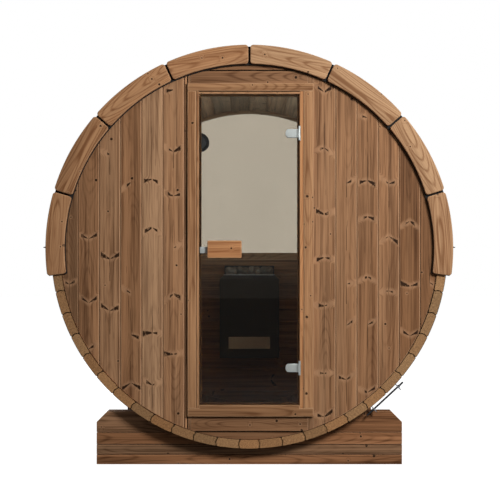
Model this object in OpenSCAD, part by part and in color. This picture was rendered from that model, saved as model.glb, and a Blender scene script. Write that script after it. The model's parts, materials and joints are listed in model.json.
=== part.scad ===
// Barrel sauna on two cradles. The barrel lies along Y, the glass door faces -Y,
// and the origin is on the ground, below the middle of the barrel.

/* [Barrel] */
// Outer diameter of the stave barrel
barrel_d = 2000; // [1700:10:2400]
// Length of the staves
barrel_l = 1800; // [1500:10:3000]
// Thickness of the staves
stave_t = 42; // [34:1:50]
// Number of staves, the bottom one included (odd)
stave_n = 53; // [41:2:65]
// Width of the bottom stave, measured round the outside
base_stave_w = 99.5; // [70:0.5:120]
// Height of the barrel's underside above the ground
belly_h = 97; // [60:1:200]

/* [End walls] */
// Thickness of both end walls
wall_t = 42; // [30:1:50]
// Depth from the stave ends to the outer face of an end wall
wall_recess = 13; // [8:1:60]
// Depth of the groove in the staves that holds an end wall
groove_d = 10; // [6:1:16]
// Top of the rear wall's boards above the barrel's middle
rear_sill_h = 20; // [-100:5:200]
// Height of the rail under the rear window
rear_rail_h = 45; // [30:1:80]

/* [Door frame] */
// Clear width between the side posts
door_w = 510; // [440:5:620]
// Clear height between the head and the sill
door_h = 1575; // [1300:5:1600]
// Height of the doorway's middle above the barrel's middle
door_mid = 5.5; // [-10:0.5:20]
// Width of the post on the latch side
latch_post_w = 57; // [45:1:90]
// Width of the post on the hinge side
hinge_post_w = 69; // [55:1:90]
// Height of the frame's head
head_h = 53; // [40:1:70]
// Height of the frame's sill
sill_h = 56; // [40:1:70]
// How far the frame stands proud of the end wall
frame_proud = 22; // [16:1:40]
// Width of the stepped strip beside the glass on the latch side
latch_strip_w = 14; // [8:1:30]
// Width of the stepped strip beside the glass on the hinge side
hinge_strip_w = 22; // [12:1:30]
// Height of the stepped strip over the glass
head_strip_h = 12; // [8:1:30]
// How far the posts run past the doorway into the head and the sill
post_lap = 14; // [0:1:30]
// Depth of the step
strip_step = 6; // [3:1:10]
// Width of the stop behind the glass
stop_w = 12; // [8:1:20]
// Thickness of the stop
stop_t = 20; // [12:1:26]

/* [Door] */
// Thickness of the door glass
glass_t = 8; // [6:1:10]
// Running gap round the door
door_gap = 5; // [5:0.5:8]
// Depth of the glass behind the stepped strip
glass_inset = 6; // [4:1:10]
// Height of each hinge above and below the barrel's middle
hinge_h = 593; // [400:1:650]
// Length of a hinge clamp along the glass
clamp_l = 64; // [40:1:90]
// Height of a hinge clamp
clamp_h = 42; // [30:1:60]
// Thickness of a hinge clamp plate
clamp_t = 8; // [5:1:8]
// Height of a hinge, its ears included
hinge_leaf_h = 72; // [60:1:100]
// Radius of the hinge knuckle
knuckle_r = 6; // [5:0.5:8]
// Radius of the hinge pin
pin_r = 3; // [2:0.5:4]
// Width of the handle
handle_w = 172; // [120:1:200]
// Height of the handle
handle_h = 88; // [60:1:120]
// Thickness of the handle
handle_t = 24; // [16:1:34]
// Gap between the handle and the glass
handle_gap = 12; // [8:1:30]
// Height of the handle's middle above the barrel's middle
handle_mid = 6; // [-200:1:200]
// Distance from the doorway's latch edge to the handle
handle_in = 44; // [40:1:90]
// Height of the catch
catch_h = 32; // [20:1:50]

/* [Arched trim] */
// Number of arched boards on each end
trim_n = 8; // [6:2:12]
// Angle from one arched board to the next, in degrees
trim_pitch = 24.5; // [20:0.5:28]
// Gap between two arched boards
trim_gap = 9.5; // [4:0.5:20]
// How far the arched boards reach in past the staves
trim_lap = 32; // [15:1:50]
// How far the arched boards stand out past the staves
trim_over = 28; // [24:1:40]
// Thickness of the arched boards
trim_t = 25; // [18:1:40]
// Height of the arch's centre above the barrel's middle
trim_rise = 10; // [0:1:30]

/* [Roof covering] */
// Thickness of the shingle covering
roof_t = 17; // [6:1:24]
// Height of the covering's lower edge above the barrel's middle
roof_edge_h = 24; // [10:1:200]
// How far the drip edge reaches out past the covering
drip_out = 23; // [12:1:50]
// Thickness of the drip edge
drip_t = 3; // [1.5:0.5:6]

/* [Bands] */
// Width of a steel band
band_w = 22; // [15:1:40]
// Thickness of a steel band
band_t = 1.2; // [0.8:0.1:3]
// Distance from the stave ends to a band's middle
band_in = 50; // [30:1:120]
// Angle of the tensioner below the horizontal, in degrees
tension_a = 47.1; // [20:0.1:70]
// Length of the threaded rod
rod_l = 250; // [180:1:400]
// Radius of the threaded rod
rod_r = 4; // [3:0.5:6]
// Distance between the two lugs
lug_span = 166; // [100:1:300]
// Height of a lug
lug_h = 45; // [30:1:60]
// Height of the rod above the band
rod_h = 26; // [16:1:34]
// Thickness of a lug
lug_t = 5; // [3:1:10]

/* [Cradles] */
// Length of a cradle across the barrel
cradle_l = 1571; // [1300:1:1900]
// Height of a cradle at its shoulders
cradle_h = 272; // [230:1:420]
// Thickness of a cradle
cradle_t = 90; // [60:1:160]
// Corner cut on a cradle's shoulder
cradle_cut = 54; // [20:1:100]
// Distance from the stave ends to a cradle
cradle_in = 100; // [80:5:400]

/* [Rear window] */
// Thickness of the rear window glass
window_t = 8; // [6:1:12]
// Radial width of the bead round the rear window
bead_w = 28; // [15:1:40]
// Thickness of the bead round the rear window
bead_t = 20; // [10:1:20]
// Radius of the vent
vent_r = 62; // [40:1:80]
// Sideways distance of the vent from the middle
vent_x = -326; // [-500:1:-250]
// Height of the vent above the barrel's middle
vent_h = 748; // [500:1:760]

/* [Heater] */
// Width of the heater
heater_w = 373; // [300:1:450]
// Depth of the heater
heater_d = 300; // [240:1:400]
// Height of the heater's case
heater_h = 521; // [400:1:640]
// Depth of the heater's rim below the barrel's middle
heater_drop = 126; // [60:1:300]
// Gap between the heater and the rear wall
heater_gap = 30; // [20:1:60]
// Sideways slope of the heater's shoulders
shoulder_in = 24; // [10:1:40]
// Height of the heater's shoulders
shoulder_h = 26; // [10:1:40]
// Wall thickness round the stone basket
basket_wall = 10; // [6:1:20]
// Depth of the stone basket
basket_d = 90; // [40:1:200]
// Height of the plate behind the stones
splash_h = 62; // [30:1:100]
// Width of the light panel low on the heater
panel_w = 261; // [150:1:300]
// Height of the light panel
panel_h = 75; // [40:1:120]

/* [Hidden] */
$fn = 256;

// Clearance between two pieces that seat on each other
fit = 0.3;
// Open joint between two staves
stave_joint = 0.4;

r_out = barrel_d / 2;
r_in = r_out - stave_t;
axis_z = belly_h + r_out;
front_y = -barrel_l / 2;
back_y = barrel_l / 2;

// Angle of the bottom stave and of each of the others
base_a = base_stave_w / r_out * 180 / PI;
stave_a = (360 - base_a) / (stave_n - 1);
// Last stave of the lower, side and upper groups, counted up from the bottom one
half_n = (stave_n - 1) / 2;
group_bottom = 3;
group_lower = 3 + floor(half_n * 8 / 26);
group_side = group_lower + floor(half_n * 7 / 26);
group_upper = half_n - 3;

wall_r = r_in + groove_d - fit;
front_wall_y = front_y + wall_recess;
rear_wall_y = back_y - wall_recess - wall_t;
groove_w = wall_t + 2 * fit;

// Doorway and frame edges, measured from the barrel's middle
door_x = door_w / 2;
door_top = door_mid + door_h / 2;
door_bottom = door_mid - door_h / 2;
frame_left = -door_x - latch_post_w;
frame_right = door_x + hinge_post_w;
frame_top = door_top + head_h;
frame_bottom = door_bottom - sill_h;
frame_y = front_wall_y - frame_proud;
frame_t = frame_proud + wall_t;
strip_y = frame_y + strip_step;
glass_y = strip_y + glass_inset;
stop_y = glass_y + glass_t + door_gap;

// Hinge axis, in front of the glass at the edge of the doorway
pivot_x = door_x - 2;
pivot_y = strip_y - knuckle_r - 1;
ear_h = (hinge_leaf_h - clamp_h) / 2 - 0.5;
leaf_t = 4;
leaf_l = 34;
// Centre of the handle
handle_x = -door_x + handle_in + handle_w / 2;
handle_pitch = handle_w * 0.56;
bolt_r = 4;
catch_l = handle_in - door_gap;

// Arched boards cover the stave ends and reach past them on both sides
trim_r_in = r_in - trim_lap;
trim_w = stave_t + trim_lap + trim_over;
// Half of the angle that the arched boards cover
trim_half = trim_n * trim_pitch / 2;

roof_r_in = r_out + band_t + 2 * fit;
roof_r_out = roof_r_in + roof_t;
roof_a = asin(roof_edge_h / roof_r_out);

lug_r = r_out + band_t + fit;
lug_base = sqrt(lug_r * lug_r - pow(lug_span / 2 + lug_t, 2)) + 1;
lug_a = asin((lug_span / 2) / lug_r);
rod_u = sqrt(lug_r * lug_r - pow(lug_span / 2, 2)) + rod_h;
nut_r = rod_r * 1.85;
nut_t = rod_r * 1.6;

// Rear window glass lies against the outer side of the wall groove
window_y = back_y - wall_recess - window_t;
bead_y = window_y - fit - bead_t;
bead_r = r_in - fit;

heater_back = rear_wall_y - heater_gap;
heater_front = heater_back - heater_d;
heater_top = -heater_drop;
basket_w = heater_w - 2 * shoulder_in - 2 * basket_wall;
basket_y = heater_front + shoulder_in + basket_wall;
basket_l = heater_d - shoulder_in - 2 * basket_wall;
splash_t = 6;

// ---- helpers ----

// Turns a profile of (radius, place along the barrel) round the barrel's axis,
// from angle a0 to angle a1, counted from +X towards +Z
module sweep(a0, a1, rise = 0) {
    translate([0, 0, axis_z + rise])
        rotate([-90, 0, 0])
            rotate([0, 0, -a1])
                rotate_extrude(angle = a1 - a0)
                    children();
}

// Extrudes an end-view outline of (across, height over the axis) from y0 along +Y
module slab(y0, t) {
    translate([0, y0 + t, axis_z])
        rotate([90, 0, 0])
            linear_extrude(t)
                children();
}

// A box given by its lowest corner, heights counted from the barrel's middle, and its size
module block(corner, size) {
    translate([corner[0], corner[1], axis_z + corner[2]])
        cube(size);
}

// The disc that fills an end of the barrel, cut to a window of x and height
module disc_part(x0, x1, z0, z1) {
    intersection() {
        circle(r = wall_r);
        translate([x0, z0])
            square([x1 - x0, z1 - z0]);
    }
}

// ---- barrel ----

module stave_profile() {
    difference() {
        translate([r_in, front_y])
            square([stave_t, barrel_l]);
        for (y = [front_wall_y - fit, rear_wall_y - fit])
            translate([r_in - 1, y])
                square([groove_d + 1, groove_w]);
    }
}

// Stave number i, counted from the bottom one, positive towards +X
module stave(i) {
    side = i < 0 ? -1 : 1;
    lo = i == 0 ? -base_a / 2 : base_a / 2 + (abs(i) - 1) * stave_a;
    hi = i == 0 ? base_a / 2 : lo + stave_a;
    cut = stave_joint / r_out * 90 / PI;
    a = side > 0 ? [-90 + lo + cut, -90 + hi - cut] : [-90 - hi + cut, -90 - lo - cut];
    sweep(a[0], a[1]) stave_profile();
}

module stave_group(first, last) {
    color("peru")
        for (i = [first:last]) stave(i);
}

module staves_bottom() { stave_group(-group_bottom, group_bottom); }
module staves_lower_left() { stave_group(-group_lower, -group_bottom - 1); }
module staves_lower_right() { stave_group(group_bottom + 1, group_lower); }
module staves_side_left() { stave_group(-group_side, -group_lower - 1); }
module staves_side_right() { stave_group(group_lower + 1, group_side); }
module staves_upper_left() { stave_group(-group_upper, -group_side - 1); }
module staves_upper_right() { stave_group(group_side + 1, group_upper); }
module staves_top() {
    stave_group(-half_n, -group_upper - 1);
    stave_group(group_upper + 1, half_n);
}

// ---- front wall ----

module front_wall_left() {
    color("sienna")
        slab(front_wall_y, wall_t)
            disc_part(-r_out, frame_left - fit, -r_out, r_out);
}

module front_wall_right() {
    color("sienna")
        slab(front_wall_y, wall_t)
            disc_part(frame_right + fit, r_out, -r_out, r_out);
}

module front_wall_header() {
    color("sienna")
        slab(front_wall_y, wall_t)
            disc_part(frame_left, frame_right, frame_top + fit, r_out);
}

module front_wall_below_door() {
    color("sienna")
        slab(front_wall_y, wall_t)
            disc_part(frame_left, frame_right, -r_out, frame_bottom - fit);
}

// ---- door frame ----

// Cuts the step beside the glass out of the frame's front, and the hinge leaves' seats
module frame_cuts() {
    strip_top = door_top + head_strip_h;
    block([-door_x - latch_strip_w, frame_y - 1, door_bottom - post_lap],
          [door_w + latch_strip_w + hinge_strip_w, strip_step + 1,
           strip_top - door_bottom + post_lap]);
    for (side = [-1, 1])
        block([door_x - 1, strip_y - 1, side * hinge_h - hinge_leaf_h / 2 - fit],
              [leaf_t + 2 * fit + 1, leaf_l + 1 + fit, hinge_leaf_h + 2 * fit]);
}

// The frame's head (up = 1) or sill (up = -1): a rail over the posts and a tongue between them
module frame_rail(up, rail_h) {
    edge = up > 0 ? door_top : door_bottom;
    slab(frame_y, frame_t)
        difference() {
            translate([frame_left, up > 0 ? edge : edge - rail_h])
                square([frame_right - frame_left, rail_h]);
            for (x = [[frame_left - 1, -door_x + fit], [door_x - fit, frame_right + 1]])
                translate([x[0], up > 0 ? edge - 1 : edge - post_lap - fit])
                    square([x[1] - x[0], post_lap + fit + 1]);
        }
}

module door_post(x, w) {
    block([x, frame_y, door_bottom - post_lap], [w, frame_t, door_h + 2 * post_lap]);
}

module door_frame_head() {
    color("chocolate")
        difference() {
            frame_rail(1, head_h);
            frame_cuts();
        }
}

module door_frame_sill() {
    color("chocolate") frame_rail(-1, sill_h);
}

module door_post_latch() {
    color("chocolate")
        difference() {
            door_post(frame_left, latch_post_w);
            frame_cuts();
        }
}

module door_post_hinge() {
    color("chocolate")
        difference() {
            door_post(door_x, hinge_post_w);
            frame_cuts();
        }
}

module door_stops() {
    y = stop_y;
    side_h = door_h - 2 * stop_w - 4 * fit;
    color("saddlebrown") {
        for (z = [door_bottom + fit, door_top - stop_w])
            block([-door_x + fit, y, z], [door_w - 2 * fit, stop_t, stop_w]);
        for (x = [-door_x + fit, door_x - stop_w - fit])
            block([x, y, door_bottom + stop_w + 2 * fit], [stop_w, stop_t, side_h]);
    }
}

// A leaf let into the hinge post, with two ears that hold the pin
module hinge_leaf(z) {
    color("silver") {
        block([door_x + fit, strip_y, z - hinge_leaf_h / 2], [leaf_t, leaf_l, hinge_leaf_h]);
        for (end = [-1, 1])
            translate([0, 0, axis_z + z + end * (hinge_leaf_h - ear_h) / 2 - ear_h / 2]) {
                translate([pivot_x, pivot_y, 0])
                    cylinder(r = knuckle_r, h = ear_h);
                translate([door_x + fit, pivot_y, 0])
                    cube([leaf_t, strip_y - pivot_y + 1, ear_h]);
            }
        translate([pivot_x, pivot_y, axis_z + z - hinge_leaf_h / 2])
            cylinder(r = pin_r, h = hinge_leaf_h);
    }
}

module hinge_leaves() {
    for (side = [-1, 1]) hinge_leaf(side * hinge_h);
}

// ---- door ----

module bolt_holes(r) {
    for (side = [-1, 1])
        translate([handle_x + side * handle_pitch / 2, handle_mid])
            circle(r = r);
}

module door_glass() {
    color("dimgray", 0.6)
        slab(glass_y, glass_t)
            difference() {
                translate([-door_x + door_gap, door_bottom + door_gap])
                    square([door_w - 2 * door_gap, door_h - 2 * door_gap]);
                bolt_holes(bolt_r + fit);
            }
}

// Two plates that grip the glass and a sleeve that turns on the pin
module hinge_clamp(z) {
    x0 = pivot_x - knuckle_r - clamp_l;
    nose_r = clamp_h / 2;
    inner_l = door_x - stop_w - door_gap - x0;
    color("lightgray") {
        slab(glass_y - clamp_t, clamp_t - fit)
            union() {
                translate([x0 + nose_r, z - nose_r])
                    square([clamp_l - nose_r, clamp_h]);
                translate([x0 + nose_r, z])
                    circle(r = nose_r);
            }
        slab(glass_y + glass_t + fit, clamp_t - fit)
            union() {
                translate([x0 + nose_r, z - nose_r])
                    square([inner_l - nose_r, clamp_h]);
                translate([x0 + nose_r, z])
                    circle(r = nose_r);
            }
        difference() {
            union() {
                translate([pivot_x, pivot_y, axis_z + z - nose_r])
                    cylinder(r = knuckle_r, h = clamp_h);
                block([pivot_x - knuckle_r - 4, pivot_y - 3, z - nose_r],
                      [knuckle_r + 4, glass_y - fit - pivot_y + 3, clamp_h]);
            }
            translate([pivot_x, pivot_y, axis_z + z - nose_r - 1])
                cylinder(r = pin_r + 0.1, h = clamp_h + 2);
            block([pivot_x - 1, pivot_y + knuckle_r - 0.5, z - nose_r - 1],
                  [knuckle_r + 2, 2 * knuckle_r, clamp_h + 2]);
        }
    }
}

module hinge_clamp_upper() { hinge_clamp(hinge_h); }
module hinge_clamp_lower() { hinge_clamp(-hinge_h); }

// A wooden grip on two round feet, bolted through the glass
module door_handle_outer() {
    y_foot = glass_y - handle_gap;
    color("peru") {
        slab(y_foot - handle_t, handle_t)
            translate([handle_x - handle_w / 2, handle_mid - handle_h / 2])
                square([handle_w, handle_h]);
        slab(y_foot, handle_gap - fit)
            bolt_holes(3 * bolt_r);
        slab(y_foot, handle_gap + glass_t + fit / 2)
            bolt_holes(bolt_r);
    }
}

module door_handle_inner() {
    y_foot = glass_y + glass_t + fit;
    color("peru") {
        slab(y_foot + handle_gap - fit, handle_t)
            translate([handle_x - handle_w / 2, handle_mid - handle_h / 2])
                square([handle_w, handle_h]);
        slab(y_foot, handle_gap - fit)
            bolt_holes(3 * bolt_r);
    }
}

module door_catch() {
    x0 = -door_x + door_gap;
    x1 = -door_x + stop_w + door_gap;
    end = x0 + catch_l - fit;
    color("lightgray") {
        block([x0, glass_y - clamp_t - 2, -catch_h / 2 + 3],
              [end - x0, clamp_t + 2 - fit, catch_h]);
        block([x1, glass_y + glass_t + fit, -catch_h / 2 + 3],
              [end - x1, clamp_t - fit, catch_h]);
    }
}

// ---- rear wall ----

module rear_wall_boards() {
    color("sienna")
        slab(rear_wall_y, wall_t)
            disc_part(-r_out, r_out, -r_out, rear_sill_h - rear_rail_h - fit);
}

module rear_window_rail() {
    color("chocolate")
        difference() {
            slab(rear_wall_y, wall_t)
                disc_part(-r_out, r_out, rear_sill_h - rear_rail_h, rear_sill_h);
            block([-r_out, window_y - fit, rear_sill_h - groove_d],
                  [barrel_d, wall_t, groove_d + 1]);
        }
}

module rear_window_glass() {
    color("lightsteelblue", 0.5)
        slab(window_y, window_t)
            difference() {
                disc_part(-r_out, r_out, rear_sill_h - groove_d + fit, r_out);
                translate([vent_x, vent_h]) circle(r = vent_r - 12 + fit);
            }
}

// Inner bead in short arcs, so that each lies flat against the glass
module rear_window_bead() {
    a0 = asin((rear_sill_h + fit) / (bead_r - bead_w));
    n = 8;
    step = (180 - 2 * a0) / n;
    color("saddlebrown")
        for (i = [0:n - 1])
            sweep(a0 + i * step + 0.01, a0 + (i + 1) * step - 0.01)
                translate([bead_r - bead_w, bead_y])
                    square([bead_w, bead_t]);
}

module rear_vent() {
    inner = 14;
    outer = wall_recess - 2;
    color("dimgray") {
        slab(window_y - fit - inner, inner)
            translate([vent_x, vent_h]) circle(r = vent_r);
        slab(window_y - fit - 1, window_t + 2 * fit + 2)
            translate([vent_x, vent_h]) circle(r = vent_r - 12);
        slab(window_y + window_t + fit, outer)
            translate([vent_x, vent_h]) circle(r = vent_r);
    }
}

// ---- arched trim ----

module arch_trim(y0) {
    cut = trim_gap / trim_r_in * 90 / PI;
    color("peru")
        for (i = [0:trim_n - 1])
            sweep(90 - trim_half + i * trim_pitch + cut,
                  90 - trim_half + (i + 1) * trim_pitch - cut, trim_rise)
                translate([trim_r_in, y0])
                    square([trim_w, trim_t]);
}

module front_arch_trim() { arch_trim(front_y - fit - trim_t); }
module rear_arch_trim() { arch_trim(back_y + fit); }

// ---- roof covering ----

module roof_covering() {
    color("black")
        sweep(roof_a, 180 - roof_a)
            translate([roof_r_in, front_y])
                square([roof_t, barrel_l]);
}

// End-view outline of the right drip edge: a leg under the covering and a kicked-out lip
module drip_outline() {
    z1 = roof_r_in * sin(roof_a) - fit;
    x1 = sqrt(roof_r_in * roof_r_in - pow(z1, 2));
    polygon([
        [x1, z1], [x1, z1 - drip_t], [roof_r_out, z1 - drip_t],
        [roof_r_out + drip_out, z1 - drip_t - drip_out / 4],
        [roof_r_out + drip_out, z1 - drip_out / 4],
        [roof_r_out, z1]
    ]);
}

module drip_edges() {
    color("black") {
        slab(front_y, barrel_l) drip_outline();
        slab(front_y, barrel_l) mirror([1, 0]) drip_outline();
    }
}

// ---- bands ----

module band(y_mid) {
    color("gray")
        sweep(-tension_a + lug_a, 360 - tension_a - lug_a)
            translate([r_out + fit / 2, y_mid - band_w / 2])
                square([band_t, band_w]);
}

module band_front() { band(front_y + band_in); }
module band_rear() { band(back_y - band_in); }

// Places children at the tensioner: X runs outwards, Y along the barrel, Z along the rod
module at_tensioner(y_mid) {
    translate([0, y_mid, axis_z])
        rotate([0, tension_a, 0])
            children();
}

module band_lugs() {
    color("gray")
        for (y_mid = [front_y + band_in, back_y - band_in], side = [-1, 1])
            at_tensioner(y_mid)
                difference() {
                    translate([lug_base, -band_w / 2, side * lug_span / 2 - lug_t / 2])
                        cube([lug_h, band_w, lug_t]);
                    translate([rod_u, 0, side * lug_span / 2 - lug_t])
                        cylinder(r = rod_r + fit, h = 2 * lug_t);
                }
}

module tension_rods() {
    color("silver")
        for (y_mid = [front_y + band_in, back_y - band_in])
            at_tensioner(y_mid)
                translate([rod_u, 0, 0]) {
                    translate([0, 0, -rod_l / 2 - 7])
                        cylinder(r = rod_r, h = rod_l);
                    translate([0, 0, lug_span / 2 + lug_t / 2 + fit])
                        cylinder(r = nut_r, h = nut_t, $fn = 6);
                    translate([0, 0, -lug_span / 2 - lug_t / 2 - fit - nut_t])
                        cylinder(r = nut_r, h = nut_t, $fn = 6);
                }
}

// ---- cradles ----

module cradle(y0) {
    half = cradle_l / 2;
    color("saddlebrown")
        slab(y0, cradle_t)
            difference() {
                polygon([
                    [-half, -axis_z], [half, -axis_z],
                    [half, cradle_h - cradle_cut - axis_z], [half - cradle_cut, cradle_h - axis_z],
                    [-half + cradle_cut, cradle_h - axis_z], [-half, cradle_h - cradle_cut - axis_z]
                ]);
                circle(r = r_out + fit);
            }
}

module cradle_front() { cradle(front_y + cradle_in); }
module cradle_rear() { cradle(back_y - cradle_in - cradle_t); }

// ---- heater ----

// Case outline from the front, with sloped shoulders
module case_front() {
    w = heater_w / 2;
    polygon([
        [-w, heater_top - heater_h], [w, heater_top - heater_h],
        [w, heater_top - shoulder_h], [w - shoulder_in, heater_top],
        [-w + shoulder_in, heater_top], [-w, heater_top - shoulder_h]
    ]);
}

// Case outline from the side, sloped at the front only
module case_side() {
    polygon([
        [heater_front, heater_top - heater_h], [heater_back, heater_top - heater_h],
        [heater_back, heater_top], [heater_front + shoulder_in, heater_top],
        [heater_front, heater_top - shoulder_h]
    ]);
}

module heater_case() {
    color("darkslategray")
        difference() {
            union() {
                intersection() {
                    slab(heater_front, heater_d) case_front();
                    translate([-heater_w / 2, 0, axis_z])
                        rotate([90, 0, 90])
                            linear_extrude(heater_w)
                                case_side();
                }
                block([-heater_w / 2 + shoulder_in, heater_back - splash_t, heater_top - 10],
                      [heater_w - 2 * shoulder_in, splash_t, splash_h + 10]);
            }
            block([-basket_w / 2, basket_y, heater_top - basket_d],
                  [basket_w, basket_l, basket_d + 1]);
            block([-panel_w / 2, heater_front - 1, heater_top - heater_h + 58],
                  [panel_w, 7, panel_h]);
        }
}

// Heap of stones: a bed that fills the basket and a crown of rounded tops
module heater_stones() {
    rows = 3;
    columns = 5;
    stone_r = basket_w / columns / 2;
    color("gray")
        union() {
            block([-basket_w / 2 + fit, basket_y + fit, heater_top - basket_d + fit],
                  [basket_w - 2 * fit, basket_l - 2 * fit, basket_d - 2 * fit]);
            for (i = [0:columns - 1], j = [0:rows - 1])
                translate([(i - (columns - 1) / 2) * 2 * stone_r,
                           basket_y + basket_l * (j + 0.5) / rows,
                           axis_z + heater_top + stone_r * 0.2 * ((i + j) % 2)])
                    sphere(r = stone_r - 1, $fn = 48);
        }
}

module heater_panel() {
    color("silver")
        block([-panel_w / 2 + fit, heater_front + 1, heater_top - heater_h + 58 + fit],
              [panel_w - 2 * fit, 5 - fit, panel_h - 2 * fit]);
}

module heater_brackets() {
    color("gray")
        for (side = [-1, 1])
            block([side * heater_w * 0.3 - 15, heater_back + fit, heater_top - heater_h * 0.75],
                  [30, heater_gap - 2 * fit, heater_h * 0.55]);
}

staves_bottom();
staves_lower_left();
staves_lower_right();
staves_side_left();
staves_side_right();
staves_upper_left();
staves_upper_right();
staves_top();
front_wall_left();
front_wall_right();
front_wall_header();
front_wall_below_door();
door_frame_head();
door_frame_sill();
door_post_latch();
door_post_hinge();
door_stops();
hinge_leaves();
door_glass();
hinge_clamp_upper();
hinge_clamp_lower();
door_handle_outer();
door_handle_inner();
door_catch();
rear_wall_boards();
rear_window_rail();
rear_window_glass();
rear_window_bead();
rear_vent();
front_arch_trim();
rear_arch_trim();
roof_covering();
drip_edges();
band_front();
band_rear();
band_lugs();
tension_rods();
cradle_front();
cradle_rear();
heater_case();
heater_stones();
heater_panel();
heater_brackets();
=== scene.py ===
# Barrel sauna on two cradles: the looks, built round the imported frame.
# Metres, +Z up. The barrel lies along Y and its glass door faces -Y.
import json
import math

import bpy
import numpy as np
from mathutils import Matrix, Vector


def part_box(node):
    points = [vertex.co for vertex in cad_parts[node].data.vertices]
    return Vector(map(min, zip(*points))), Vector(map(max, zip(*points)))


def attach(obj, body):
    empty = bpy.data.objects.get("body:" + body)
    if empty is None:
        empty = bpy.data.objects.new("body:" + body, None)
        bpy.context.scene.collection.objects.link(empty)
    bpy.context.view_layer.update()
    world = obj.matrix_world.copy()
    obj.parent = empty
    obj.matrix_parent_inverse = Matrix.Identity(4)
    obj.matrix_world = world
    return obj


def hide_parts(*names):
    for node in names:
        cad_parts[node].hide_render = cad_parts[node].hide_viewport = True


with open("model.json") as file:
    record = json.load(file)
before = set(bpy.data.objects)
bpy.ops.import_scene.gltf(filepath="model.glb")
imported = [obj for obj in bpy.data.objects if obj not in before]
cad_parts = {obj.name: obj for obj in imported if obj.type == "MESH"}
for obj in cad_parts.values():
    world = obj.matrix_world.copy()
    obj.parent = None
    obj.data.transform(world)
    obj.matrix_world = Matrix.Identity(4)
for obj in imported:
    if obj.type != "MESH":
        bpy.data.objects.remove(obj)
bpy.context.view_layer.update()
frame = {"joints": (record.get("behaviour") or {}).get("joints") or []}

rng = np.random.default_rng(20)


# ---- sizes, from the frame where it has them ----

def corners(node):
    """Lowest and highest corner of a CAD node, as arrays."""
    low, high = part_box(node)
    return np.array(low), np.array(high)


BELLY_Z = corners("staves_bottom")[0][2]
CROWN_Z = corners("staves_top")[1][2]
AXIS_Z = (BELLY_Z + CROWN_Z) / 2
R_OUT = (CROWN_Z - BELLY_Z) / 2
FRONT_Y, BACK_Y = corners("staves_top")[0][1], corners("staves_top")[1][1]
STAVE_T = 0.042
R_IN = R_OUT - STAVE_T
WALL_R = R_IN - 0.0004
BASE_W = 0.0995
BASE_ANGLE = BASE_W / R_OUT
STAVES_A_SIDE = 26
STAVE_ANGLE = (2 * math.pi - BASE_ANGLE) / (2 * STAVES_A_SIDE)
STAVE_GAP = 0.0004
BEAD_H = 0.005

BOARD_W = 0.1074
FIRST_JOINT = 0.331
BOARD_GAP = 0.0024
V_GROOVE = 0.0038

# Length of a cell with one whorl of knots, and the rows' distance.
KNOT_RUN, KNOT_ROW = 0.27, BOARD_W

# Clearance between fitted parts.
FIT = 0.0003
# The tensioners' angle below the level, and the distance between their lugs.
TENSION_A = math.radians(47.1)
LUG_SPAN = 0.166


# ---- meshes ----

class Pile:
    """Closed solids gathered for one mesh, with grain, edge and tone stored at each point."""

    def __init__(self):
        self.points, self.grain, self.edge, self.tone = [], [], [], []
        self.faces, self.slots = [], []
        self.count = 0

    def add(self, rings, grain=None, edge=None, tone=0.0, finish=0, end_finish=None,
            loop=False):
        """Rings is an array of (ring, point, 3). Quads join each ring to the next, and flat
        caps close the first and the last ring, or loop joins them. The sign of the volume,
        the sum of the triangles' determinants, says whether the faces have to be turned."""
        stack, around = rings.shape[:2]
        points = rings.reshape(-1, 3)
        low = np.arange(stack * around).reshape(stack, around)
        caps = [] if loop else [low[0][::-1], low[-1]]
        top = np.roll(low, -1, axis=0)
        if not loop:
            low, top = low[:-1], top[:-1]
        quads = np.stack([low, np.roll(low, -1, axis=1), np.roll(top, -1, axis=1), top], axis=-1)
        quads = quads.reshape(-1, 4)
        centred = points - points.mean(axis=0)
        fans = [quads[:, [0, 1, 2]], quads[:, [0, 2, 3]]]
        fans += [np.stack([np.full(len(c) - 2, c[0]), c[1:-1], c[2:]], axis=1) for c in caps]
        a, b, c = np.moveaxis(centred[np.concatenate(fans)], 1, 0)
        if np.einsum("ij,ij->i", a, np.cross(b, c)).sum() < 0:
            quads = quads[:, ::-1]
            caps = [cap[::-1] for cap in caps]
        slots = np.full(len(quads), finish)
        if end_finish is not None:
            slots[:around] = slots[-around:] = end_finish
        self.faces += (quads + self.count).tolist()
        self.faces += [(cap + self.count).tolist() for cap in caps]
        self.slots += slots.tolist()
        self.slots += [finish if end_finish is None else end_finish] * len(caps)
        self.points.append(points)
        self.grain.append(points if grain is None else grain.reshape(-1, 3))
        self.edge.append(np.zeros(len(points)) if edge is None else
                         np.broadcast_to(edge, (stack, around)).ravel())
        self.tone.append(np.full((len(points), 3), [tone, 0, 0] if np.isscalar(tone)
                                 else [*tone, 0]))
        self.count += len(points)


def piece(name, pile, materials, body, stands_for=(), smooth=32):
    """One object from a pile: its points, faces and stored values, with the finishes in order.
    Edges sharper than smooth degrees stay crisp."""
    mesh = bpy.data.meshes.new(name)
    mesh.from_pydata(np.concatenate(pile.points).tolist(), [], pile.faces)
    for label, kind, values, key in (("grain", "FLOAT_VECTOR", pile.grain, "vector"),
                                     ("edge", "FLOAT", pile.edge, "value"),
                                     ("tone", "FLOAT_VECTOR", pile.tone, "vector")):
        stored = mesh.attributes.new(label, kind, "POINT")
        stored.data.foreach_set(key, np.concatenate(values).astype(np.float32).ravel())
    for material in materials:
        mesh.materials.append(material)
    mesh.polygons.foreach_set("material_index", pile.slots)
    mesh.shade_smooth()
    mesh.set_sharp_from_angle(angle=math.radians(smooth))
    made = bpy.data.objects.new(name, mesh)
    bpy.context.scene.collection.objects.link(made)
    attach(made, body)
    if stands_for:
        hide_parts(*stands_for)
    return made


def facing(u, v, w):
    """A flat outline of (across, height over the axis), swept along Y."""
    return np.stack([u, np.broadcast_to(w, u.shape), AXIS_Z + v], axis=-1)


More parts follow.
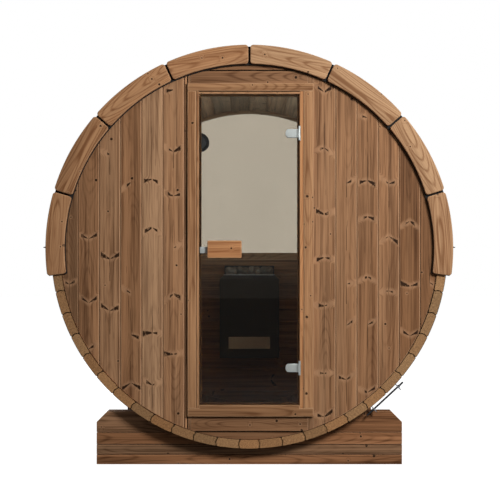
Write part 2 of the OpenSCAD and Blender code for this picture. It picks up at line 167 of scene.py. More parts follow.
def level(u, v, w):
    """A flat outline of (height over the axis, across), swept along Y."""
    return facing(v, u, w)


def upright(u, v, w):
    """A flat outline of (X, Y), swept along the height over the axis."""
    return np.stack([u, v, np.broadcast_to(AXIS_Z + w, u.shape)], axis=-1)


def at_tensioner(u, v, w):
    """Out from the axis u, along the barrel v, along the rod w, turned to the tensioner."""
    cos, sin = math.cos(TENSION_A), math.sin(TENSION_A)
    u, v, w = np.broadcast_arrays(u, v, w)
    return np.stack([u * cos + w * sin, v, AXIS_Z - u * sin + w * cos], axis=-1)


def round_axis(r, angle, y, z=0.0):
    """Points at radius r and the angle, round a line along Y that lies z over the axis."""
    r, angle, y = np.broadcast_arrays(r, angle, y)
    return np.stack([r * np.cos(angle), y, AXIS_Z + z + r * np.sin(angle)], axis=-1)


def own_grain(p):
    """The board's own place in the grain: its middle lies on a row of knots, and its start is
    far off, so that no two boards are alike."""
    flat = p.reshape(-1, 3)
    middle = (flat.min(axis=0) + flat.max(axis=0)) / 2
    start = rng.uniform(-20, 20, 3)
    start[1] = KNOT_ROW * round(start[1] / KNOT_ROW)
    return p - middle + start


def grain_up(p):
    """Grain along Z: (height, across, depth)."""
    return own_grain(p[..., [2, 0, 1]])


def grain_across(p):
    """Grain along X: (across, height, depth)."""
    return own_grain(p[..., [0, 2, 1]])


def grain_deep(p):
    """Grain along Y, bent round the barrel: (Y, angle times radius, distance from the axis)."""
    x, z = p[..., 0], p[..., 2] - AXIS_Z
    away = np.hypot(x, z)
    return own_grain(np.stack([p[..., 1], np.arctan2(x, -z) * R_OUT, away], axis=-1))


def grain_chord(p, angle):
    """Straight grain of a board sawn to an arc, along the arc's tangent at the angle: (along
    the tangent, out from the axis, Y)."""
    x, z = p[..., 0], p[..., 2] - AXIS_Z
    cos, sin = math.cos(angle), math.sin(angle)
    return own_grain(np.stack([z * cos - x * sin, x * cos + z * sin, p[..., 1]], axis=-1))


def inset(outline, distance):
    """The outline moved inwards. Each corner goes along the sum of its two edges' inward
    normals, divided by one plus their dot product, which is held above 0.3 at sharp tips."""
    edge = np.roll(outline, -1, axis=0) - outline
    edge /= np.linalg.norm(edge, axis=1, keepdims=True)
    after = np.stack([-edge[:, 1], edge[:, 0]], axis=1)
    before = np.roll(after, 1, axis=0)
    open_angle = np.maximum(1 + (before * after).sum(axis=1, keepdims=True), 0.3)
    return outline + distance * (before + after) / open_angle


def plate(pile, outline, low, high, place=facing, grain=grain_up, ease=0.002, steps=1,
          margin=0.0015, tone=None, finish=0, end_finish=None):
    """A board: the counter-clockwise outline swept from low to high with eased edges. At angle
    a of the quarter round the outline lies ease (1 - sin a) in and ease (1 - cos a) down.
    Edge is 1 on the round and falls to 0 over the margin beside it."""
    a = np.linspace(0, math.pi / 2, steps + 1)
    ins = np.concatenate([[ease + margin], ease * (1 - np.sin(a)), [0]])
    down = np.concatenate([[0], ease * (1 - np.cos(a)), [ease + margin]])
    edge = np.concatenate([[0], np.ones(steps + 1), [0]])
    ins = np.concatenate([ins, ins[::-1]])
    along = np.concatenate([low + down, (high - down)[::-1]])
    edge = np.concatenate([edge, edge[::-1]])
    rings = np.stack([place(*inset(outline, i).T, w) for i, w in zip(ins, along)])
    tone = rng.uniform(-1, 1, 2) if tone is None else tone
    pile.add(rings, grain(rings), edge[:, None], tone, finish, end_finish)


def fitting(pile, outline, low, high, ease=0.0006, margin=0.0003, steps=1, place=facing,
            finish=0):
    """A metal or glass plate, which has no tone of its own."""
    plate(pile, outline, low, high, place, ease=ease, steps=steps, margin=margin, tone=0.0,
          finish=finish)


def flipped(outline, across=-1, up=1):
    """The outline mirrored, its points in turned order so that they stay counter-clockwise."""
    return (outline * (across, up))[::-1]


def rectangle(u0, u1, v0, v1, radius=0.0, steps=4):
    """A rectangle's outline, its corners rounded by quarter circles where radius is given."""
    if not radius:
        return np.array([[u0, v0], [u1, v0], [u1, v1], [u0, v1]], float)
    a = np.linspace(0, math.pi / 2, steps + 1)
    arc = radius * np.stack([np.cos(a), np.sin(a)], axis=1)
    turn = np.array([[0.0, -1.0], [1.0, 0.0]])
    sides = []
    for centre in ((u1 - radius, v1 - radius), (u0 + radius, v1 - radius),
                   (u0 + radius, v0 + radius), (u1 - radius, v0 + radius)):
        sides.append(arc + centre)
        arc = arc @ turn.T
    return np.concatenate(sides)


def front_view(low, high, radius):
    """The rounded outline, from the front, of the box between two corners."""
    return rectangle(low[0], high[0], low[2] - AXIS_Z, high[2] - AXIS_Z, radius)


def circle(radius, count=48, centre=(0, 0)):
    """A circle's outline."""
    a = np.linspace(0, 2 * math.pi, count, endpoint=False)
    return radius * np.stack([np.cos(a), np.sin(a)], axis=1) + centre


def chord(x, radius=WALL_R):
    """Half the height at x of a circle, which is the round end wall's unless said."""
    return np.sqrt(np.maximum(radius ** 2 - np.asarray(x) ** 2, 0))


def between(x, lower, upper):
    """The outline between two curves over the same places x, with doubled tips dropped."""
    outline = np.concatenate([np.stack([x, lower], 1), np.stack([x, upper], 1)[::-1]])
    step = np.linalg.norm(outline - np.roll(outline, 1, axis=0), axis=1)
    return outline[step > 1e-6]


def spread(x0, x1, count=14):
    """Places from x0 to x1, even in angle round the wall's circle."""
    a = np.linspace(math.acos(np.clip(x0 / WALL_R, -1, 1)),
                    math.acos(np.clip(x1 / WALL_R, -1, 1)), count)
    return WALL_R * np.cos(a)


def slats(pile, limits, low, high, place, grain, ease=V_GROOVE, tones_and_shade=None):
    """Boards side by side on the round wall: each spans two neighbouring limits less half the
    gap and runs out to the circle. A tongue half way through fills the gap between two."""
    tones_and_shade = tones_and_shade or [None] * (len(limits) - 1)
    for a, b, tone in zip(limits[:-1], limits[1:], tones_and_shade):
        x = spread(a + BOARD_GAP / 2, b - BOARD_GAP / 2)
        plate(pile, between(x, -chord(x), chord(x)), low, high, place, grain, ease, tone=tone)
    middle, tongue = (low + high) / 2, 0.005
    for a in limits[1:-1]:
        x = np.array([a - BOARD_GAP / 2, a + BOARD_GAP / 2])
        reach = np.full(2, chord(abs(a) + BOARD_GAP))
        plate(pile, between(x, -reach, reach), middle - tongue, middle + tongue, place, grain,
              ease=0.0002, margin=0.0002, tone=-3.6)


def lathe(pile, profile, x, z, count=48, finish=0):
    """A profile of (radius, Y) turned round an axis along Y through (x, z over the axis)."""
    a = np.linspace(0, 2 * math.pi, count, endpoint=False)
    radius, y = np.array(profile, float).T
    pile.add(round_axis(radius[:, None], a, y[:, None], z) + (x, 0, 0), finish=finish)


# ---- shader helpers ----

def infix(operation, turned=False):
    """A Signal's operator: one Math node over both values, the other value first if turned."""
    def method(self, other):
        return self.graph.math(operation, *((other, self) if turned else (self, other)))
    return method


class Signal:
    """A shader output that is added, multiplied and compared as a number is."""

    def __init__(self, graph, socket):
        self.graph, self.socket = graph, socket

    def __abs__(self):
        return self.graph.math("ABSOLUTE", self)

    __add__ = __radd__ = infix("ADD")
    __mul__ = __rmul__ = infix("MULTIPLY")
    __sub__, __rsub__ = infix("SUBTRACT"), infix("SUBTRACT", True)
    __truediv__ = infix("DIVIDE")
    __lt__, __gt__ = infix("LESS_THAN"), infix("GREATER_THAN")


class Graph:
    """Short calls that add nodes to a tree and link their sockets."""

    def __init__(self, tree):
        self.tree = tree

    def feed(self, sockets, values):
        """Sockets, by name or number, set to plain values or linked to Signals."""
        for key, value in values.items():
            if isinstance(value, Signal):
                self.tree.links.new(value.socket, sockets[key])
            else:
                sockets[key].default_value = value

    def put(self, kind, values=None, **settings):
        """A new node with its settings and values: its outputs by name and by number."""
        node = self.tree.nodes.new(kind)
        for key, value in settings.items():
            setattr(node, key, value)
        self.feed(node.inputs, values or {})
        made = {out.name: Signal(self, out) for out in node.outputs}
        return made | {i: Signal(self, out) for i, out in enumerate(node.outputs)}

    def math(self, operation, *values):
        return self.put("ShaderNodeMath", dict(enumerate(values)), operation=operation)[0]

    def vector(self, operation, *values):
        made = self.put("ShaderNodeVectorMath", dict(enumerate(values)), operation=operation)
        return made["Value" if operation in ("LENGTH", "DOT_PRODUCT") else "Vector"]

    def scale(self, colour, factor):
        """A colour times a factor. A plain colour comes without its alpha."""
        start = colour if isinstance(colour, Signal) else colour[:3]
        return self.put("ShaderNodeVectorMath", {0: start, "Scale": factor},
                        operation="SCALE")[0]

    def split(self, vector):
        made = self.put("ShaderNodeSeparateXYZ", {0: vector})
        return made[0], made[1], made[2]

    def join(self, x, y, z):
        return self.put("ShaderNodeCombineXYZ", {0: x, 1: y, 2: z})[0]

    def noise(self, vector, stretch, detail=2.0, roughness=0.5):
        """Noise over the vector times the stretch, from 0 to 1."""
        return self.put("ShaderNodeTexNoise", {
            "Vector": self.vector("MULTIPLY", vector, stretch), "Scale": 1.0, "Detail": detail,
            "Roughness": roughness})["Fac"]

    def scatter(self, vector, stretch):
        """One point in each cell of the vector times the stretch: the way to here from the
        nearest point, and three chances of its own."""
        laid = self.vector("MULTIPLY", vector, stretch)
        cell = self.put("ShaderNodeTexVoronoi", {"Vector": laid, "Scale": 1.0},
                        voronoi_dimensions="2D")
        way = self.vector("SUBTRACT", laid, cell["Position"])
        back = (1 / stretch[0], 1 / stretch[1], 0)
        return self.vector("MULTIPLY", way, back), self.split(cell["Color"])

    def chances(self, x, y, z):
        """A chance, and three more, that stay the same over a whole cell."""
        made = self.put("ShaderNodeTexWhiteNoise", {"Vector": self.join(x, y, z)})
        return made["Value"], *self.split(made["Color"])

    def ramp(self, value, low, high, start=0.0, end=1.0):
        """A smooth step from start, at low, to end, at high."""
        if low > high:
            low, high, start, end = high, low, end, start
        return self.put("ShaderNodeMapRange", {0: value, 1: low, 2: high, 3: start, 4: end},
                        interpolation_type="SMOOTHSTEP")[0]

    def mix(self, share, a, b):
        """From colour a at share 0 to colour b at share 1."""
        return self.put("ShaderNodeMix", {0: share, 6: a, 7: b}, data_type="RGBA")[2]

    def stored(self, name, output="Fac"):
        """A value stored at the mesh's points."""
        return self.put("ShaderNodeAttribute", attribute_name=name)[output]

    def place(self):
        """Object coordinates."""
        return self.put("ShaderNodeTexCoord")["Object"]

    def use(self, tree, values):
        return self.put("ShaderNodeGroup", values, node_tree=tree)


FLOAT, VECTOR, COLOR = "NodeSocketFloat", "NodeSocketVector", "NodeSocketColor"


def new_group(name, inputs, outputs):
    """A shader group with named sockets: its graph, its inputs in order, and its outputs."""
    tree = bpy.data.node_groups.new(name, "ShaderNodeTree")
    for way, sockets in (("INPUT", inputs), ("OUTPUT", outputs)):
        for label, kind in sockets.items():
            tree.interface.new_socket(name=label, in_out=way, socket_type=kind)
    graph = Graph(tree)
    ins = graph.put("NodeGroupInput")
    return graph, [ins[label] for label in inputs], tree.nodes.new("NodeGroupOutput").inputs


RING_STEP, END_RING_STEP = 0.0058, 0.0042
COOL, WARM = (0.98, 1.02, 1.03), (1.05, 0.90, 0.76)


def timber_group():
    """Planed board sawn through the heart. Rows of knots lie KNOT_ROW apart, each on a board's
    middle, and a whorl of two knots lies in each KNOT_RUN of a row. On each side a knot is a
    spike: at a from the middle its own middle lies slope times a up the grain, and it widens
    outwards. A pale halo lies round the whorl, and a dark thread of pith runs from it. Small
    round knots and short dark dashes lie in cells of their own. Growth lines are rings of
    sqrt(across^2 + depth^2), where the depth is a noise along the board, so they close in
    points, and each small knot lifts them into an eye."""
    g, ins, outs = new_group(
        "timber", dict(Grain=VECTOR, Tone=FLOAT, Red=FLOAT, Pale=COLOR, Deep=COLOR, Knots=FLOAT,
                       Dots=FLOAT, Lines=FLOAT), dict(Color=COLOR, Rough=FLOAT, Height=FLOAT))
    at, tone, red, pale, deep, knots, dots, lines = ins
    along, across, depth = g.split(at)
    row = g.math("ROUND", across / KNOT_ROW)
    middle = across - row * KNOT_ROW
    cell = g.math("FLOOR", along / KNOT_RUN)
    has_whorl, shift, flip, thread = g.chances(cell, row, 7.0)
    has_limb, lean, size, reach = g.chances(cell, row, middle > 0.0)
    start = along - (cell + (shift * 0.5 + 0.25)) * KNOT_RUN

    out = abs(middle)
    up = (flip > 0.3) * 2.0 - 1.0
    off = start - out * ((lean * 1.05 + 0.05) * up)
    ragged = g.noise(at, (120, 120, 90), 3.0, 0.6)
    half = out * 0.19 + 0.0003 + size * size * 0.0034
    rho = abs(off) / (half * (ragged * 1.7 + 0.25))
    present = (has_limb < knots) * (has_whorl < knots + 0.12)
    within = g.ramp(out - (reach * 0.042 + 0.010), 0.003, -0.003) * g.ramp(out, 0.0015, 0.0045)
    broken = g.ramp(g.noise(g.join(along, across, row), (60, 75, 9), 1.0), 0.34, 0.48, 0.45)
    spike = g.ramp(rho, 1.25, 0.7) * (present * within) * broken
    rim = g.ramp(abs(rho - 1.0), 0.45, 0.05) * (present * within)
    halo = g.ramp(abs(off), 0.026, 0.004) * present

    away, (chance, wide, _) = g.scatter(at, (8.0, 21.0, 0))
    far = g.vector("LENGTH", away)
    dotted = chance < dots
    radius = (wide * wide * 0.0044 + 0.0030) * (ragged + 0.5)
    dot_core = g.ramp(far / radius, 1.3, 0.8) * dotted
    eye = g.ramp(far, 0.02, 0.0) * dotted
    bright = g.ramp(far, 0.013, 0.004) * dotted
    away, luck = g.scatter(g.vector("ADD", at, (3.0, 1.0, 0)), (12.0, 40.0, 0))
    run, aside, _ = g.split(away)
    dash = g.ramp(abs(aside), 0.0013, 0.0004) * g.ramp(abs(run), 0.026, 0.008)
    dash = dash * (luck[0] < knots * 0.2)

    bent = across - middle * halo * 0.45
    flow = g.join(along, bent, depth)
    wobble = g.noise(flow, (7, 0, 0), 2.0) - 0.5
    pith = (g.ramp(abs(wobble * 0.012 + middle), 0.0027, 0.0006)
            * g.ramp(abs(up * 0.06 + start), 0.10, 0.04)
            * g.ramp(thread, 0.4, 0.55) * (has_whorl < knots))
    heart = g.noise(g.join(along, row, depth), (0.9, 5.3, 0), 1.0) * 0.16 - 0.02
    sideways = (g.noise(g.join(along, row, 0.0), (0.8, 3.1, 0), 0.0) * 0.09
                + (bent - (row * KNOT_ROW + 0.045)))
    ring = g.vector("LENGTH", g.join(sideways, heart, 0.0))
    ring = ring + g.noise(flow, (0.9, 9, 9), 2.0) * 0.016 + eye * 0.016
    growth = g.math("SINE", ring * (2 * math.pi / RING_STEP)) * 0.5 + 0.5
    growth = g.math("POWER", growth, 4.5) * g.ramp(g.noise(flow, (1.5, 15, 15), 1.0), 0.3, 0.65,
                                                   0.2)
    broad = g.noise(flow, (1.0, 42, 42), 3.0, 0.65)
    streak = g.noise(flow, (2.2, 150, 150), 3.0, 0.6)
    fibre = g.noise(flow, (14, 1000, 1000), 1.0)
    blend = broad * 0.66 - growth * lines * 0.42 + streak * 0.46 + fibre * 0.14

    tint = g.mix(g.ramp(blend, 0.37, 0.79), deep, pale)
    tint = g.scale(tint, (g.noise(at, (2.0, 9, 9), 2.0) * 0.5 + 0.75) * (tone * 0.2 + 1.0))
    hue = (g.noise(flow, (1.1, 21, 21), 2.0) * 1.5 - 0.75 + red) * 0.5 + 0.5
    tint = g.mix(g.math("MINIMUM", g.math("MAXIMUM", hue, 0.0), 1.0),
                 g.vector("MULTIPLY", tint, COOL), g.vector("MULTIPLY", tint, WARM))
    tint = g.mix(g.math("MAXIMUM", halo * 0.42, bright * 0.35), tint, g.scale(pale, 1.12))
    tint = g.mix(g.math("MAXIMUM", dash * 0.65, pith * 0.85), tint, g.scale(deep, 0.36))
    tint = g.mix(rim * 0.4, tint, g.scale(deep, 0.3))
    core = g.math("MAXIMUM", spike * (1.4 - ragged * 0.7), dot_core)
    tint = g.mix(g.math("MINIMUM", core, 1.0), tint, g.scale(deep, 0.25))
    g.feed(outs, {"Color": tint, "Rough": streak * 0.2 + 0.5,
                  "Height": fibre * 0.35 + streak * 0.65 - core * 0.5})
    return g.tree


def end_grain_group():
    """Sawn end: rings are sin((across cos t + depth sin t) / END_RING_STEP + wander), where the
    turn t is a noise of the board's own place, with fine pores, and edges darkened as painted
    shade."""
    g, ins, outs = new_group(
        "end_grain", dict(Grain=VECTOR, Tone=FLOAT, Red=FLOAT, Edge=FLOAT, Pale=COLOR,
                          Deep=COLOR), dict(Color=COLOR, Rough=FLOAT, Height=FLOAT))
    at, tone, red, edge, pale, deep = ins
    along, across, depth = g.split(at)
    turn = g.noise(g.join(along, along, along), (1.7, 0, 0), 0.0) * 9.0
    run = across * g.math("COSINE", turn) + depth * g.math("SINE", turn)
    phase = run * (2 * math.pi / END_RING_STEP) + g.noise(at, (0, 26, 26), 1.0) * 11.0
    rings = g.math("POWER", g.math("SINE", phase) * 0.5 + 0.5, 1.6)
    pores = g.noise(at, (0, 900, 900), 2.0)
    blend = pores * 0.5 + rings * 0.5
    tint = g.mix(g.ramp(blend, 0.2, 0.8), pale, deep)
    tint = g.scale(tint, tone * 0.2 + (g.noise(at, (0, 110, 110), 3.0, 0.7) * 1.5 + 0.25))
    tint = g.mix(red * 0.5 + 0.5, tint, g.vector("MULTIPLY", tint, (1.05, 0.9, 0.78)))
    # Painted shade: the end's edges darkened as if in the shadow of the grooves between staves.
    painted_edge_shade = edge * g.ramp(g.noise(at, (0, 90, 90), 1.0), 0.3, 0.7, 0.2, 0.7)
    g.feed(outs, {"Color": g.mix(painted_edge_shade, tint, g.scale(deep, 0.7)),
                  "Rough": pores * 0.2 + 0.65, "Height": blend})
    return g.tree


def edge_wear_and_highlight_group():
    """Rubbed edges, which also carry a painted highlight: the stored edge value, broken up by
    noise.
    """
    g, (edge, grain), outs = new_group("edge_wear", dict(Edge=FLOAT, Grain=VECTOR),
                                       dict(Mask=FLOAT))
    broken = g.ramp(g.noise(grain, (9, 60, 60), 2.0), 0.3, 0.62)
    g.feed(outs, {"Mask": edge * (broken * 0.5 + 0.5)})
    return g.tree


def brushed_group():
    """Rolled or brushed metal: fine scratches along X of the vector and soft blotches."""
    g, (at,), outs = new_group("brushed", dict(Vector=VECTOR), dict(Lines=FLOAT, Blotch=FLOAT))
    g.feed(outs, {"Lines": g.noise(at, (40, 1800, 1800), 2.0),
                  "Blotch": g.noise(at, (22, 22, 22), 3.0, 0.6)})
    return g.tree


TIMBER, END_GRAIN = timber_group(), end_grain_group()
EDGE_WEAR_AND_HIGHLIGHT, BRUSHED = edge_wear_and_highlight_group(), brushed_group()


def colour(red, green, blue):
    """A display colour from 0 to 255, made linear."""
    share = np.array([red, green, blue]) / 255
    linear = np.where(share <= 0.04045, share / 12.92, ((share + 0.055) / 1.055) ** 2.4)
    return (*linear.tolist(), 1.0)


def blank(name):
    """A new material: its graph and its Principled shader, already wired to the output."""
    material = bpy.data.materials.new(name)
    material.use_nodes = True
    shader = material.node_tree.nodes["Principled BSDF"]
    return material, Graph(material.node_tree), shader.inputs


def bump(g, height, distance, strength=0.5):
    """A normal from a height of 0 to 1 that stands for the distance."""
    return g.put("ShaderNodeBump", {"Height": height, "Distance": distance,
                                    "Strength": strength})[0]


def wood(name, pale, deep, knots, dots, lines, wear_and_highlight):
    """Planed wood with rubbed edges, lightened partly by wear and partly as a painted highlight.
    Pale and deep are display colours.
    """
    material, g, sockets = blank(name)
    pale, deep = colour(*pale), colour(*deep)
    at = g.stored("grain", "Vector")
    tone, red, _ = g.split(g.stored("tone", "Vector"))
    board = g.use(TIMBER, {"Grain": at, "Tone": tone, "Red": red, "Pale": pale, "Deep": deep,
                           "Knots": knots, "Dots": dots, "Lines": lines})
    wear_and_highlight_mask = g.use(EDGE_WEAR_AND_HIGHLIGHT, {"Edge": g.stored("edge"), "Grain": at})["Mask"]
    # The rounded edges are lightened: part wear, part painted highlight on the bevels.
    rubbed_and_highlight_colour = (1.2 * pale[0], 1.25 * pale[1], 1.3 * pale[2], 1.0)
    g.feed(sockets, {"Base Color": g.mix(wear_and_highlight_mask * wear_and_highlight, board["Color"], rubbed_and_highlight_colour),
                     "Roughness": board["Rough"], "Specular IOR Level": 0.05,
                     "Normal": bump(g, board["Height"], 0.0006)})
    return material


def wood_end(name, pale, deep):
    """Sawn end grain. Pale and deep are display colours."""
    material, g, sockets = blank(name)
    tone, red, _ = g.split(g.stored("tone", "Vector"))
    ends = g.use(END_GRAIN, {"Grain": g.stored("grain", "Vector"), "Tone": tone, "Red": red,
                             "Edge": g.stored("edge"), "Pale": colour(*pale),
                             "Deep": colour(*deep)})
    g.feed(sockets, {"Base Color": ends["Color"], "Roughness": ends["Rough"],
                     "Specular IOR Level": 0.1, "Normal": bump(g, ends["Height"], 0.0005)})
    return material


def glass(name, tint):
    """Tinted pane with a faint smear in its gloss."""
    material, g, sockets = blank(name)
    film = g.noise(g.place(), (3, 3, 1.2), 3.0)
    g.feed(sockets, {"Base Color": g.mix(g.ramp(film, 0.3, 0.7), tint, g.scale(tint, 0.96)),
                     "Roughness": g.ramp(film, 0.55, 0.8) * 0.02,
                     "Transmission Weight": 1.0, "IOR": 1.45})
    return material


def metal(name, base, rough, metallic=1.0, blotch=0.25):
    """Brushed, rolled or painted metal, its rounded edges lightened as a painted highlight. Base is
    a display colour.
    """
    material, g, sockets = blank(name)
    marks = g.use(BRUSHED, {"Vector": g.place()})
    # The stored edge value lightens the rounded edges: a painted highlight.
    shade = marks["Blotch"] * blotch + (1 - blotch / 2) + g.stored("edge") * 0.25
    g.feed(sockets, {"Base Color": g.scale(colour(*base), shade),
                     "Roughness": marks["Lines"] * 0.16 + (rough - 0.08),
                     "Metallic": metallic, "Normal": bump(g, marks["Lines"], 0.0002, 0.3)})
    return material


def granules(name):
    """Mineral-surfaced felt: each grain is a cell 1.6 mm across with its own shade."""
    material, g, sockets = blank(name)
    at = g.stored("grain", "Vector")
    cell = g.put("ShaderNodeTexVoronoi", {"Vector": at, "Scale": 620.0})
    luck = g.split(cell["Color"])[0]
    tone = g.split(g.stored("tone", "Vector"))[0]
    shade = luck * luck * 1.5 + (g.noise(at, (5, 5, 5), 3.0) * 0.8 + 0.3) + tone * 0.18
    g.feed(sockets, {"Base Color": g.scale(colour(44, 44, 46), shade),
                     "Roughness": g.ramp(luck, 0.0, 1.0, 0.95, 0.7),
                     "Normal": bump(g, cell["Distance"], 0.0008, 0.8)})
    return material


def stone(name):
    """Split heater stone: mottled grey with small crystals."""
    material, g, sockets = blank(name)
    at = g.place()
    crystals = g.noise(at, (420, 420, 420), 2.0)
    shade = (g.noise(at, (30, 30, 30), 4.0, 0.65) + crystals * 0.5
             + g.split(g.stored("tone", "Vector"))[0] * 0.25)
    g.feed(sockets, {"Base Color": g.scale(colour(132, 117, 100), shade),
                     "Roughness": g.ramp(crystals, 0.2, 0.8, 0.95, 0.6),
                     "Normal": bump(g, shade, 0.002, 0.7)})
    return material


def plastic(name, base):
    """Moulded plastic with a fine leather texture. Base is a display colour."""
    material, g, sockets = blank(name)
    fine = g.noise(g.place(), (700, 700, 700), 2.0)
    g.feed(sockets, {"Base Color": g.scale(colour(*base), fine * 0.3 + 0.85),
                     "Roughness": fine * 0.2 + 0.4, "Normal": bump(g, fine, 0.0003, 0.4)})
    return material


# Wood: pale and deep colours, then the shares of knots, dots, growth lines and edge wear with
# painted highlight.
WALL = wood("wall_wood", (176, 135, 101), (96, 65, 44), 0.72, 0.12, 0.14, 0.95)
CROSS = wood("cross_board_wood", (170, 131, 99), (98, 67, 46), 0.0, 0.25, 0.35, 0.6)
STAVE = wood("stave_wood", (162, 121, 88), (102, 70, 47), 0.5, 0.08, 0.3, 0.45)
STAVE_END = wood_end("stave_end_wood", (178, 140, 99), (104, 73, 48))
FRAME = wood("frame_wood", (182, 139, 102), (122, 84, 56), 0.0, 0.32, 0.4, 0.8)
TRIM = wood("trim_wood", (190, 148, 111), (134, 93, 63), 0.0, 0.32, 0.5, 0.7)
CRADLE = wood("cradle_wood", (166, 124, 92), (88, 60, 40), 0.0, 0.3, 0.3, 0.6)
HANDLE = wood("handle_wood", (190, 140, 98), (140, 93, 60), 0.0, 0.5, 0.5, 0.6)
DOOR_GLASS = glass("door_glass_tint", (0.52, 0.46, 0.37, 1.0))
WINDOW_GLASS = glass("window_glass_tint", (0.90, 0.90, 0.88, 1.0))
CHROME = metal("fitting_steel", (182, 187, 184), 0.3, metallic=0.3, blotch=0.5)
ROD_STEEL = metal("tensioner_steel", (58, 60, 63), 0.42, metallic=0.4)
STEEL = metal("band_steel_zinc", (196, 198, 202), 0.36, blotch=0.4)
BLACK_METAL = metal("drip_black", (24, 24, 25), 0.6, metallic=0.0)
HEATER = metal("heater_black", (52, 52, 53), 0.55, metallic=0.4)
PANEL = metal("panel_steel", (206, 207, 204), 0.5, metallic=0.1)
COVERING = granules("covering_granules")
# Black sheet that paints shade in the trims' joints, under their inner edge and in the staves'
# lips.
SHADE_SHEET_BLACK = metal("felt_black", (16, 15, 14), 0.9, metallic=0.0)
STONE = stone("heater_stone_grey")
VENT = plastic("vent_grey", (62, 60, 58))
VENT_FACE = plastic("vent_face_grey", (92, 88, 84))


# ---- barrel ----

def stave_outline(low, high, low_bow, high_bow):
    """A stave's end view as (angle from the bottom, radius) points turned to (x, height). Both
    edges bow by BEAD_H sin(pi t) between the chamfers, so that a bead fits the next cove."""
    inner_cut, outer_cut = 0.0062, 0.0058
    t = np.linspace(0, 1, 9)
    radius = R_IN + inner_cut + t * (STAVE_T - inner_cut - outer_cut)
    bow = BEAD_H * np.sin(math.pi * t) / radius
    shy = STAVE_GAP / 2 / R_OUT
    up = np.stack([high - shy + bow * high_bow, radius], 1)
    down = np.stack([low + shy + bow * low_bow, radius], 1)[::-1]
    outer_a = np.linspace(high - shy - outer_cut / R_OUT, low + shy + outer_cut / R_OUT, 4)
    inner_a = np.linspace(low + shy + inner_cut / R_IN, high - shy - inner_cut / R_IN, 4)
    outer = np.stack([outer_a, np.full(4, R_OUT)], 1)
    inner = np.stack([inner_a, np.full(4, R_IN)], 1)
    angle, radius = np.concatenate([up, outer, down, inner]).T
    return np.stack([radius * np.sin(angle), -radius * np.cos(angle)], 1)


def add_stave(pile, i):
    """Stave number i, counted from the bottom one, positive towards +X. Its bead points away
    from the bottom, and the two that meet at the crown have flat edges there."""
    if i == 0:
        outline = stave_outline(-BASE_ANGLE / 2, BASE_ANGLE / 2, -1, 1)
    else:
        low = BASE_ANGLE / 2 + (abs(i) - 1) * STAVE_ANGLE
        outline = stave_outline(low, low + STAVE_ANGLE, 1, int(abs(i) < STAVES_A_SIDE))
    if i < 0:
        outline = flipped(outline)
    plate(pile, outline, FRONT_Y, BACK_Y, grain=grain_deep, ease=0.0009, margin=0.0016,
          end_finish=1)


def barrel():
    """The staves in eight pieces. The numbers are the last stave of each group."""
    bottom, lower, side, upper = 3, 11, 18, 23
    groups = {"bottom": range(-bottom, bottom + 1)}
    for name, first, last in (("lower", bottom + 1, lower), ("side", lower + 1, side),
                              ("upper", side + 1, upper)):
        groups[name + "_right"] = range(first, last + 1)
        groups[name + "_left"] = range(-last, -first + 1)
    groups["top"] = [i * s for i in range(upper + 1, STAVES_A_SIDE + 1) for s in (-1, 1)]
    for name, numbers in groups.items():
        pile = Pile()
        for i in numbers:
            add_stave(pile, i)
        piece("stave_boards_" + name, pile, [STAVE, STAVE_END], "barrel",
              ["staves_" + name])


# ---- front wall and door frame ----

WALL_FRONT = corners("front_wall_left")[0][1]
WALL_BACK = corners("front_wall_left")[1][1]
FRAME_LOW, FRAME_HIGH = corners("door_frame_sill")[0], corners("door_frame_head")[1]
FRAME_LEFT, FRAME_RIGHT = FRAME_LOW[0], FRAME_HIGH[0]
FRAME_BOTTOM, FRAME_TOP = FRAME_LOW[2] - AXIS_Z, FRAME_HIGH[2] - AXIS_Z
FRAME_Y = FRAME_LOW[1]
DOORWAY_LEFT = corners("door_post_latch")[1][0]
DOORWAY_RIGHT = corners("door_post_hinge")[0][0]
POST_BOTTOM = corners("door_post_latch")[0][2] - AXIS_Z
POST_TOP = corners("door_post_latch")[1][2] - AXIS_Z
DOORWAY_TOP = corners("door_frame_head")[0][2] - AXIS_Z
DOORWAY_BOTTOM = corners("door_frame_sill")[1][2] - AXIS_Z
STRIP_Y = FRAME_Y + 0.006
LEAF_HALF, LEAF_T = 0.036, 0.004
LATCH_STRIP, HINGE_STRIP, STRIP_GAP = 0.014, 0.022, 0.0022

# Each front board's lightness and redness, left to right. The lightness is partly the boards' own
# tone and partly painted shade: the boards darken towards the outer edges, and the last one on the
# left, the strip beside the frame, is lightened as painted light against the frame's cast shadow.
BOARD_TONE_AND_SHADE_LEFT = [(-1.8, 0.0), (-1.05, 0.4), (-0.2, -0.3), (-1.1, 0.5), (1.0, -1.1), (-0.15, 0.0),
               (1.5, 0.0)]
BOARD_TONE_AND_SHADE_RIGHT = [(-0.2, 0.0), (-0.65, 0.2), (-0.8, 0.5), (-0.35, 0.3), (-1.85, 1.0), (-2.1, 1.0)]


def front_walls():
    """Upright boards from the frame out to the barrel on both sides of the door."""
    count = math.ceil((WALL_R - FIRST_JOINT) / BOARD_W)
    joints = np.append(FIRST_JOINT + BOARD_W * np.arange(count), WALL_R - 0.0006)
    lap = 0.003
    left = np.append(-joints[::-1], FRAME_LEFT + lap)
    right = np.append(FRAME_RIGHT - lap, joints[1:])
    for side, limits, tones_and_shade in (("left", left, BOARD_TONE_AND_SHADE_LEFT), ("right", right, BOARD_TONE_AND_SHADE_RIGHT)):
        pile = Pile()
        slats(pile, limits, WALL_FRONT, WALL_BACK, facing, grain_up, tones_and_shade=tones_and_shade)
        piece("front_boards_" + side, pile, [WALL], "barrel",
              ["front_wall_" + side])


